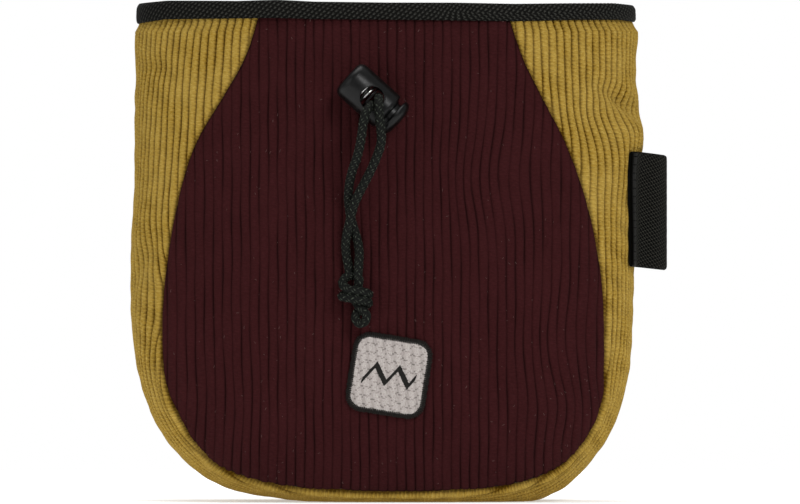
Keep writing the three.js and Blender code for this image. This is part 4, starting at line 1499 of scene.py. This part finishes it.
# Paths of the loops. along is a share of half the span and out a share of the reach.
BRUSH_PATH = table(
    "along out",
    (-1, 0),
    (-0.74, 0),
    (-0.6, 0.2),
    (-0.42, 0.66),
    (-0.24, 0.94),
    (-0.12, 1),
    (0.12, 1),
    (0.24, 0.94),
    (0.42, 0.66),
    (0.6, 0.2),
    (0.74, 0),
    (1, 0),
)
BELT_PATH = table(
    "along out",
    (-1, 0),
    (-0.78, 0),
    (-0.7, 0.25),
    (-0.62, 0.8),
    (-0.54, 1),
    (0.54, 1),
    (0.62, 0.8),
    (0.7, 0.25),
    (0.78, 0),
    (1, 0),
)
BRUSH_SPAN = 36.0
BRUSH_REACH = 7.6
BRUSH_WIDTH = 34.5
BRUSH_HEIGHT = 87.5
BRUSH_DROOP = 1.0
BELT_SPAN = 52.0
BELT_REACH = 6.5
BELT_WIDTH = 36.0
BELT_HEIGHT = 108.0


def side_reach(y, z):
    """How far the right side lies from the middle at a depth and a height."""
    left, right, front, back, power = section(z)
    share = np.minimum(np.abs(y) / np.where(y >= 0, back, front), 0.999)
    return right * (1 - share**power) ** (1 / power)


def brush_place(along, out, across):
    """A point of the brush loop's inner face, which droops a little where it stands out."""
    z = BRUSH_HEIGHT + across
    share = out / BRUSH_REACH
    widest = side_reach(0.0, np.array(BRUSH_HEIGHT))
    x = side_reach(along, z) * (1 - share) + widest * share + out + SEAM_GAP
    return np.stack((x, along, z - BRUSH_DROOP * share), axis=-1)


def belt_place(along, out, across):
    """A point of the belt loop's inner face."""
    z = BELT_HEIGHT + along
    share = out / BELT_REACH
    deepest = panel_depth(np.array(0.0), np.array(BELT_HEIGHT), 1)
    y = panel_depth(across, z, 1) * (1 - share) + deepest * share + out + SEAM_GAP
    return np.stack((across, y, z), axis=-1)


def web_section(width):
    """Places round a webbing's section: across it, through it, and 1 where ribs show."""
    half = width / 2
    flat = even_line(np.array([(-half + 0.3, 0.0), (half - 0.3, 0.0)]), WEB_STEP)[:, 0]
    edge = np.clip((half - np.abs(flat)) / SELVEDGE, 0, 1)
    top = np.stack((flat, np.ones(len(flat)), edge), axis=1)
    sides = [(half - 0.06, 0.85, 0), (half, 0.5, 0), (half - 0.06, 0.15, 0)]
    bottom = np.stack((flat, np.zeros(len(flat)), edge), axis=1)[::-1]
    other = [(-x, through, shown) for x, through, shown in reversed(sides)]
    return np.vstack((top, sides, bottom, other))


def make_loop(name, node_name, path, span, reach, width, place):
    """A webbing loop, with a bar of stitches across each end."""
    line = smooth_line(np.stack((path["along"] * span / 2, path["out"] * reach), axis=1), 12)
    line[:, 1] = np.clip(line[:, 1], 0, reach)
    line = even_line(line, WEB_STEP)
    shape = web_section(width)
    along, across = np.meshgrid(line[:, 0], shape[:, 0], indexing="ij")
    out = line[:, 1][:, None] * np.ones(across.shape)
    inner = place(along, out, across)
    run = unit(np.gradient(inner, axis=0))
    over = unit(place(along, out, across + PROBE) - place(along, out, across - PROBE))
    normal = np.cross(run, over)
    normal *= np.sign((normal * (inner - CORE)).sum(axis=2))[..., None]
    travel = np.arange(len(line))[:, None] * WEB_STEP * np.ones(across.shape)
    lean = (travel + across) / math.sqrt(2)
    end = np.minimum(travel, travel[-1, 0] - travel)
    shown = np.clip(3 * shape[:, 2], 0, 1) * np.clip((end - TACK_INSET - 0.3) / 0.8, 0, 1)
    ribs = (0.5 + 0.5 * np.sin(2 * math.pi * lean / WEB_TWILL)) * shown
    side = np.where(shape[:, 1] > 0.5, 1.0, np.where(shape[:, 1] < 0.5, -1.0, 0.0))
    relief = WEB_RELIEF * (ribs - RIB_MEAN) - EDGE_THIN * (1 - shape[:, 2]) ** 2
    thick = WEB_THICK * shape[:, 1] + side * relief
    points = inner + normal * thick[..., None]
    rows, columns = across.shape
    polygons = [face for face in ring_faces(rows, columns).tolist() if max(face) - min(face) < 2 * columns]
    polygons += [list(range(columns)), [(rows - 1) * columns + k for k in reversed(range(columns))]]
    points = points.reshape(-1, 3)
    weave = np.stack((lean.ravel(), (across - travel).ravel() / math.sqrt(2)), axis=1)
    loop = new_piece(name, points, pointing_out(points, polygons), [WEBBING], wale=shown.ravel(), weave=weave)
    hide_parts(node_name)
    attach(loop, "bag")
    spots = []
    first = round(TACK_INSET / WEB_STEP)
    reach_across = width / 2 - TACK_MARGIN
    for row, step in ((first, 1), (rows - 1 - first, -1)):
        for at in np.arange(-reach_across, reach_across, TACK_STEP):
            outer_face = shape[:, 1] > 0.9
            column = int(np.argmin(np.where(outer_face, np.abs(shape[:, 0] - at), width)))
            skin = inner[row, column] + normal[row, column] * (WEB_THICK - TACK_SINK)
            spots.append((skin, step * run[row, column], normal[row, column]))
    places, ways, outs = (np.array(column) for column in zip(*spots))
    stitched(name + "_tack", places, ways, outs, TACK_LENGTH, 0.2, 0.42, BLACK_THREAD, "webbing")


make_loop("brush_webbing", "brush_loop", BRUSH_PATH, BRUSH_SPAN, BRUSH_REACH, BRUSH_WIDTH, brush_place)
make_loop("belt_webbing", "belt_loop", BELT_PATH, BELT_SPAN, BELT_REACH, BELT_WIDTH, belt_place)


# Patch

PATCH_PLACE = (0.5, 38.0)
PATCH_TILT = math.radians(-9.0)
PATCH_HALF = 11.5
PATCH_CORNER = 4.5
PATCH_BACK = 0.45
PATCH_THICK = 0.85
PATCH_STEP = 0.14
# The satin ends this far inside the patch's outline, under the middle of the border's stitches
PATCH_MARGIN = 0.5
SATIN_PITCH = 0.44
SATIN_LENGTH = 2.6
SATIN_RISE = 0.07
HOLE_SPREAD = 0.17
BORDER_WIDTH = 1.7
BORDER_STEP = 0.56
ZIGZAG = [(-7.6, -2.4), (-4.2, 2.6), (-0.8, -2.4), (2.6, 2.6), (6.0, -2.4), (7.8, 0.4)]
ZIGZAG_STEP = 0.34


def patch_distance(u, v):
    """Distance outside the patch's outline, negative inside it."""
    reach = PATCH_HALF - PATCH_CORNER
    corner = np.hypot(np.maximum(np.abs(u) - reach, 0), np.maximum(np.abs(v) - reach, 0))
    return corner + np.minimum(np.maximum(np.abs(u), np.abs(v)) - reach, 0) - PATCH_CORNER


def on_patch(u, v, rise):
    """Points over the front panel at places on the patch, so far out from the cloth."""
    x = PATCH_PLACE[0] + u * math.cos(PATCH_TILT) - v * math.sin(PATCH_TILT)
    z = PATCH_PLACE[1] + u * math.sin(PATCH_TILT) + v * math.cos(PATCH_TILT)
    return np.stack((x, panel_depth(x, z, -1) - rise, z), axis=-1)


def patch_skin(step, rise, threads):
    """A skin of the patch, so far out from the panel, covered with satin threads or plain."""
    count = 2 * math.ceil((PATCH_HALF + PATCH_MARGIN) / step) + 1
    side = (np.arange(count) - count // 2) * step
    u, v = np.meshgrid(side, side)
    row = np.floor(u / SATIN_PITCH)
    stagger = np.modf(np.sin(row * 12.9898) * 437.58)[0]
    to_hole = ((v / SATIN_LENGTH + stagger) % 1 - 0.5) * SATIN_LENGTH
    yarn = (np.abs(np.sin(math.pi * u / SATIN_PITCH)) ** 0.6 - 1.1 * hill(to_hole, 0.0, HOLE_SPREAD)
            + 0.35 * np.sin(row * 7.3 + v * 0.6))
    crown = 0.18 * np.clip(-patch_distance(u, v) / 3, 0, 1)
    height = rise + (SATIN_RISE * yarn + crown if threads else 0)
    # The yarn's height, with its dips at the needle holes, goes to the thread material, which paints the dips
    # darker as painted shade.
    values = np.concatenate((on_patch(u, v, height), np.stack((u, v, yarn * 0.5 + 0.5), axis=-1)), axis=-1)
    keep = -PATCH_MARGIN - patch_distance(u, v)
    return cut(values.reshape(-1, 6), grid_faces(*u.shape), keep.ravel())


def border_spots():
    """Places round the patch's edge, in even steps, and the ways along the cloth out over it."""
    reach = PATCH_HALF - PATCH_CORNER
    outline = []
    for quarter in range(4):
        for turn in np.linspace(0, math.pi / 2, 16):
            angle = turn + quarter * math.pi / 2
            corner = (math.copysign(reach, math.cos(quarter * math.pi / 2 + 0.1)),
                      math.copysign(reach, math.sin(quarter * math.pi / 2 + 0.1)))
            radius = PATCH_CORNER - PATCH_MARGIN
            outline.append((corner[0] + radius * math.cos(angle), corner[1] + radius * math.sin(angle)))
    line = even_line(np.array(outline + outline[:1]), BORDER_STEP)[:-1]
    return line, outward(line)


def ways_on_patch(flat, ways, rise):
    """Places of stitches on the patch, and their ways, carried from the flat patch to the panel."""
    places = on_patch(flat[:, 0], flat[:, 1], rise)
    ends = on_patch(flat[:, 0] + PROBE * ways[:, 0], flat[:, 1] + PROBE * ways[:, 1], rise)
    sides = on_patch(flat[:, 0] - PROBE * ways[:, 1], flat[:, 1] + PROBE * ways[:, 0], rise)
    along = unit(ends - places)
    out = unit(np.cross(along, sides - places))
    return places, along, out * np.where(out[:, 1:2] < 0, 1, -1)


def make_patch():
    """The patch of satin threads, its border of close stitches and its zigzag."""
    outer = patch_skin(PATCH_STEP, PATCH_BACK + PATCH_THICK, True)
    inner = patch_skin(1.0, PATCH_BACK, False)
    values, polygons, kinds = closed_shell(outer, inner, slice(3, 5))
    polygons = pointing_out(values[:, :3], polygons)
    patch = new_piece("patch_satin", values[:, :3], polygons, [SATIN],
                      weave=values[:, 3:5], wale=values[:, 5])
    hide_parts("patch")
    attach(patch, "bag")
    flat, ways = border_spots()
    spots = ways_on_patch(flat, ways, PATCH_BACK + 0.35)
    stitched("patch_border", *spots, BORDER_WIDTH, 0.75, 0.5, BLACK_THREAD, "patch_embroidery")
    line = even_line(np.array(ZIGZAG), ZIGZAG_STEP)
    ways = unit(np.stack((np.full(len(line), 0.25), np.ones(len(line))), axis=1))
    spots = ways_on_patch(line, ways, PATCH_BACK + PATCH_THICK + 0.12)
    stitched("patch_zigzag", *spots, 1.9, 0.2, 0.4, BLACK_THREAD, "patch_embroidery")


make_patch()


# Cord lock

LOCK_SLANT = math.radians(42.0)
LOCK_ALONG = np.array((math.cos(LOCK_SLANT), 0.0, -math.sin(LOCK_SLANT)))
LOCK_UP = np.array((math.sin(LOCK_SLANT), 0.0, math.cos(LOCK_SLANT)))
BARREL_RADIUS = 6.1
BORE_RADIUS = 5.0
CLOSED_END = -9.9
INNER_END = -8.5
OPEN_END = 6.1
HOLE_RADIUS = 3.7
LOCK_SIDES = 96
PLUNGER_BASE = -0.95
PIN_SIDES = 72
PIN_REACH = 9.0
LIP_SIDES = 120
LIP_RING = 10
LIP_RADIUS = 0.24
LIP_OUTSIDE = 0.1
LIP_DEPTH = 0.14
SHARP_TURN = math.radians(32)
barrel_low, barrel_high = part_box("toggle_barrel")
LOCK_PLACE = np.array((-4.5, (barrel_low[1] + barrel_high[1]) / 2 / MM, 120.3))
BARREL_PROFILE = [
    (CLOSED_END, 0.0),
    (CLOSED_END, 3.2),
    (CLOSED_END + 0.08, 4.3),
    (CLOSED_END + 0.35, 5.0),
    (CLOSED_END + 0.8, 5.55),
    (CLOSED_END + 1.4, 5.9),
    (CLOSED_END + 2.2, BARREL_RADIUS),
    (-4.0, BARREL_RADIUS),
    (OPEN_END - 1.0, BARREL_RADIUS),
    (OPEN_END - 0.4, 6.03),
    (OPEN_END - 0.12, 5.85),
    (OPEN_END, 5.6),
    (OPEN_END - 0.05, 5.25),
    (OPEN_END - 0.3, BORE_RADIUS),
    (0.0, BORE_RADIUS),
    (INNER_END + 0.4, BORE_RADIUS),
    (INNER_END, 4.6),
    (INNER_END, 0.0),
]
PLUNGER_PROFILE = [
    (PLUNGER_BASE, 0.0),
    (PLUNGER_BASE, 4.2),
    (-0.75, 4.6),
    (-0.4, 4.7),
    (4.0, 4.7),
    (6.3, 4.7),
    (6.6, 4.5),
    (6.8, 4.1),
    (7.8, 4.1),
    (7.9, 5.3),
    (8.05, 5.8),
    (8.4, 6.05),
    (9.0, 6.0),
    (9.7, 5.55),
    (10.3, 4.6),
    (10.65, 3.2),
    (10.8, 1.5),
    (10.8, 0.0),
]
SLOT = (-0.4, 4.2)
SLOT_WIDTH = 6.2
SPRING_RADIUS = 3.5
SPRING_WIRE = 0.36
SPRING_TURNS = 4.25
SPRING_GAP = 0.05
SPRING_COUNT = 320


def on_lock(points):
    """Points of the cord lock, along its barrel, towards the bag and across, placed on the bag."""
    points = np.asarray(points)
    return (LOCK_PLACE + points[:, :1] * LOCK_ALONG + points[:, 1:2] * np.array((0.0, 1.0, 0.0))
            + points[:, 2:] * LOCK_UP)


def turned_solid(name, profile, material):
    """A solid turned round the barrel's axis."""
    rings = [(x, radius) for x, radius in profile if radius > 0]
    angle = np.linspace(0, 2 * math.pi, LOCK_SIDES, endpoint=False)
    points = [(x, radius * math.cos(a), radius * math.sin(a)) for x, radius in rings for a in angle]
    points += [(profile[0][0], 0.0, 0.0), (profile[-1][0], 0.0, 0.0)]
    points = on_lock(points)
    polygons = capped_rings(len(rings), LOCK_SIDES)
    return new_piece(name, points, pointing_out(points, polygons), [material])


def cut_away(piece, *cutters):
    """The piece without the space that the cutters fill."""
    for cutter in cutters:
        modifier = piece.modifiers.new("cut", "BOOLEAN")
        modifier.operation = "DIFFERENCE"
        modifier.solver = "EXACT"
        modifier.object = cutter
    evaluated = piece.evaluated_get(bpy.context.evaluated_depsgraph_get())
    mesh = bpy.data.meshes.new_from_object(evaluated)
    piece.modifiers.clear()
    piece.data = mesh
    for cutter in cutters:
        bpy.data.objects.remove(cutter)


def cross_pin(radius, reach):
    """A round pin across the barrel, through its cross hole."""
    angle = np.linspace(0, 2 * math.pi, PIN_SIDES, endpoint=False)
    points = [(radius * math.cos(a), y, radius * math.sin(a)) for y in (-reach, reach) for a in angle]
    following = [(j + 1) % PIN_SIDES for j in range(PIN_SIDES)]
    polygons = [[j, k, PIN_SIDES + k, PIN_SIDES + j] for j, k in enumerate(following)]
    polygons += [list(range(PIN_SIDES))[::-1], list(range(PIN_SIDES, 2 * PIN_SIDES))]
    points = on_lock(points)
    return new_piece("cross_pin", points, pointing_out(points, polygons), [PLASTIC])


def block(low, high):
    """A block between two corners, along the barrel, towards the bag and across."""
    corners = [(x, y, z) for x in (low[0], high[0]) for y in (low[1], high[1]) for z in (low[2], high[2])]
    polygons = [[0, 1, 3, 2], [4, 6, 7, 5], [0, 4, 5, 1], [2, 3, 7, 6], [0, 2, 6, 4], [1, 5, 7, 3]]
    points = on_lock(corners)
    return new_piece("block", points, pointing_out(points, polygons), [PLASTIC])


def hole_lip(side):
    """The rounded edge of the cross hole, on the front, side -1, or the back, side 1."""
    angle = np.linspace(0, 2 * math.pi, LIP_SIDES, endpoint=False)
    ring = []
    for turn in np.linspace(0, 2 * math.pi, LIP_RING, endpoint=False):
        radius = HOLE_RADIUS + LIP_OUTSIDE + LIP_RADIUS * np.cos(turn)
        across = radius * np.sin(angle)
        lie = side * (np.sqrt(BARREL_RADIUS**2 - across**2) - LIP_DEPTH + LIP_RADIUS * math.sin(turn))
        ring.append(np.stack((radius * np.cos(angle), lie, across), axis=1))
    points = on_lock(np.stack(ring, axis=1).reshape(-1, 3))
    polygons = ring_faces(LIP_SIDES, LIP_RING).tolist()
    return new_piece("hole_lip", points, pointing_out(points, polygons), [PLASTIC])


def sharp_edges(piece):
    """Smooth faces that meet in an edge where they turn sharply."""
    piece.data.polygons.foreach_set("use_smooth", [True] * len(piece.data.polygons))
    piece.data.set_sharp_from_angle(angle=SHARP_TURN)


def make_lock():
    """The cord lock: a barrel with a hole across it, and the plunger with its slot."""
    barrel = turned_solid("lock_barrel_body", BARREL_PROFILE, PLASTIC)
    cut_away(barrel, cross_pin(HOLE_RADIUS, PIN_REACH))
    barrel = joined("lock_barrel", [barrel, hole_lip(-1), hole_lip(1)])
    sharp_edges(barrel)
    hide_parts("toggle_barrel")
    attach(barrel, "bag")
    plunger = turned_solid("lock_plunger", PLUNGER_PROFILE, PLASTIC)
    half = SLOT_WIDTH / 2
    cut_away(plunger, block((SLOT[0], -PIN_REACH, -half), (SLOT[1], PIN_REACH, half)))
    sharp_edges(plunger)
    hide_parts("toggle_plunger")
    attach(plunger, "plunger")


def make_spring():
    """The spring between the barrel's closed end and the plunger."""
    low = INNER_END + SPRING_WIRE + SPRING_GAP
    high = PLUNGER_BASE - SPRING_WIRE - SPRING_GAP
    share = np.linspace(0, 1, SPRING_COUNT)
    angle = 2 * math.pi * SPRING_TURNS * share + 0.6
    coil = (-SPRING_RADIUS * np.cos(angle), SPRING_RADIUS * np.sin(angle))
    line = np.stack((low + (high - low) * share, *coil), axis=1)
    points, polygons, _ = tube(on_lock(line), SPRING_WIRE, 12)
    spring = new_piece("lock_spring", points, pointing_out(points, polygons), [STEEL])
    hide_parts("toggle_spring")
    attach(spring, "bag")
    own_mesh(spring)


make_lock()
make_spring()


# Stage and light

# In metres
FLOOR_RADIUS = 0.7
FLOOR_SIDES = 64
LIGHT_AIM = (0.0, 0.0, 0.07)
WHITE = (1.0, 1.0, 1.0, 1.0)


def make_stage():
    """The pale floor under the bag."""
    mesh = bpy.data.meshes.new("floor")
    turns = [step / FLOOR_SIDES * 2 * math.pi for step in range(FLOOR_SIDES)]
    points = [(FLOOR_RADIUS * math.cos(turn), FLOOR_RADIUS * math.sin(turn), 0.0) for turn in turns]
    mesh.from_pydata(points, [], [list(range(FLOOR_SIDES))])
    material, _, shader = new_material("pale_floor")
    shader.inputs["Base Color"].default_value = (0.88, 0.88, 0.88, 1.0)
    shader.inputs["Roughness"].default_value = 0.9
    shader.inputs["Specular IOR Level"].default_value = 0.0
    shader.inputs["Emission Color"].default_value = WHITE
    shader.inputs["Emission Strength"].default_value = 0.4
    mesh.materials.append(material)
    floor = placed("floor", mesh)


def make_sky():
    """An even studio light all round, which the camera sees as white."""
    world = bpy.data.worlds.new("studio")
    world.use_nodes = True
    tree = world.node_tree
    lit = tree.nodes["Background"]
    lit.inputs[0].default_value = WHITE
    lit.inputs[1].default_value = 0.42
    seen = node(tree, "ShaderNodeBackground", {0: WHITE, 1: 1.0})
    camera_ray = node(tree, "ShaderNodeLightPath").outputs["Is Camera Ray"]
    mix = node(tree, "ShaderNodeMixShader", {0: camera_ray, 1: lit.outputs[0], 2: seen.outputs[0]})
    tree.links.new(mix.outputs[0], tree.nodes["World Output"].inputs[0])
    bpy.context.scene.world = world


def area_light(name, place, size, power):
    """A soft lamp at a place, turned towards the bag's middle."""
    data = bpy.data.lights.new(name, "AREA")
    data.shape = "RECTANGLE"
    data.size, data.size_y = size
    data.energy = power
    light = placed(name, data)
    light.location = place
    light.rotation_mode = "QUATERNION"
    light.rotation_quaternion = (Vector(place) - Vector(LIGHT_AIM)).to_track_quat("Z", "Y")


make_stage()
area_light("key", (0.75, -1.4, 1.05), (0.55, 0.55), 15.0)
area_light("fill", (-1.3, -1.2, 0.6), (1.2, 1.2), 4.5)
area_light("top", (-0.1, 0.1, 1.6), (1.4, 1.0), 11.0)
area_light("back", (-0.7, 1.5, 0.8), (0.9, 0.9), 6.0)
make_sky()
bpy.context.scene.view_settings.view_transform = "Standard"
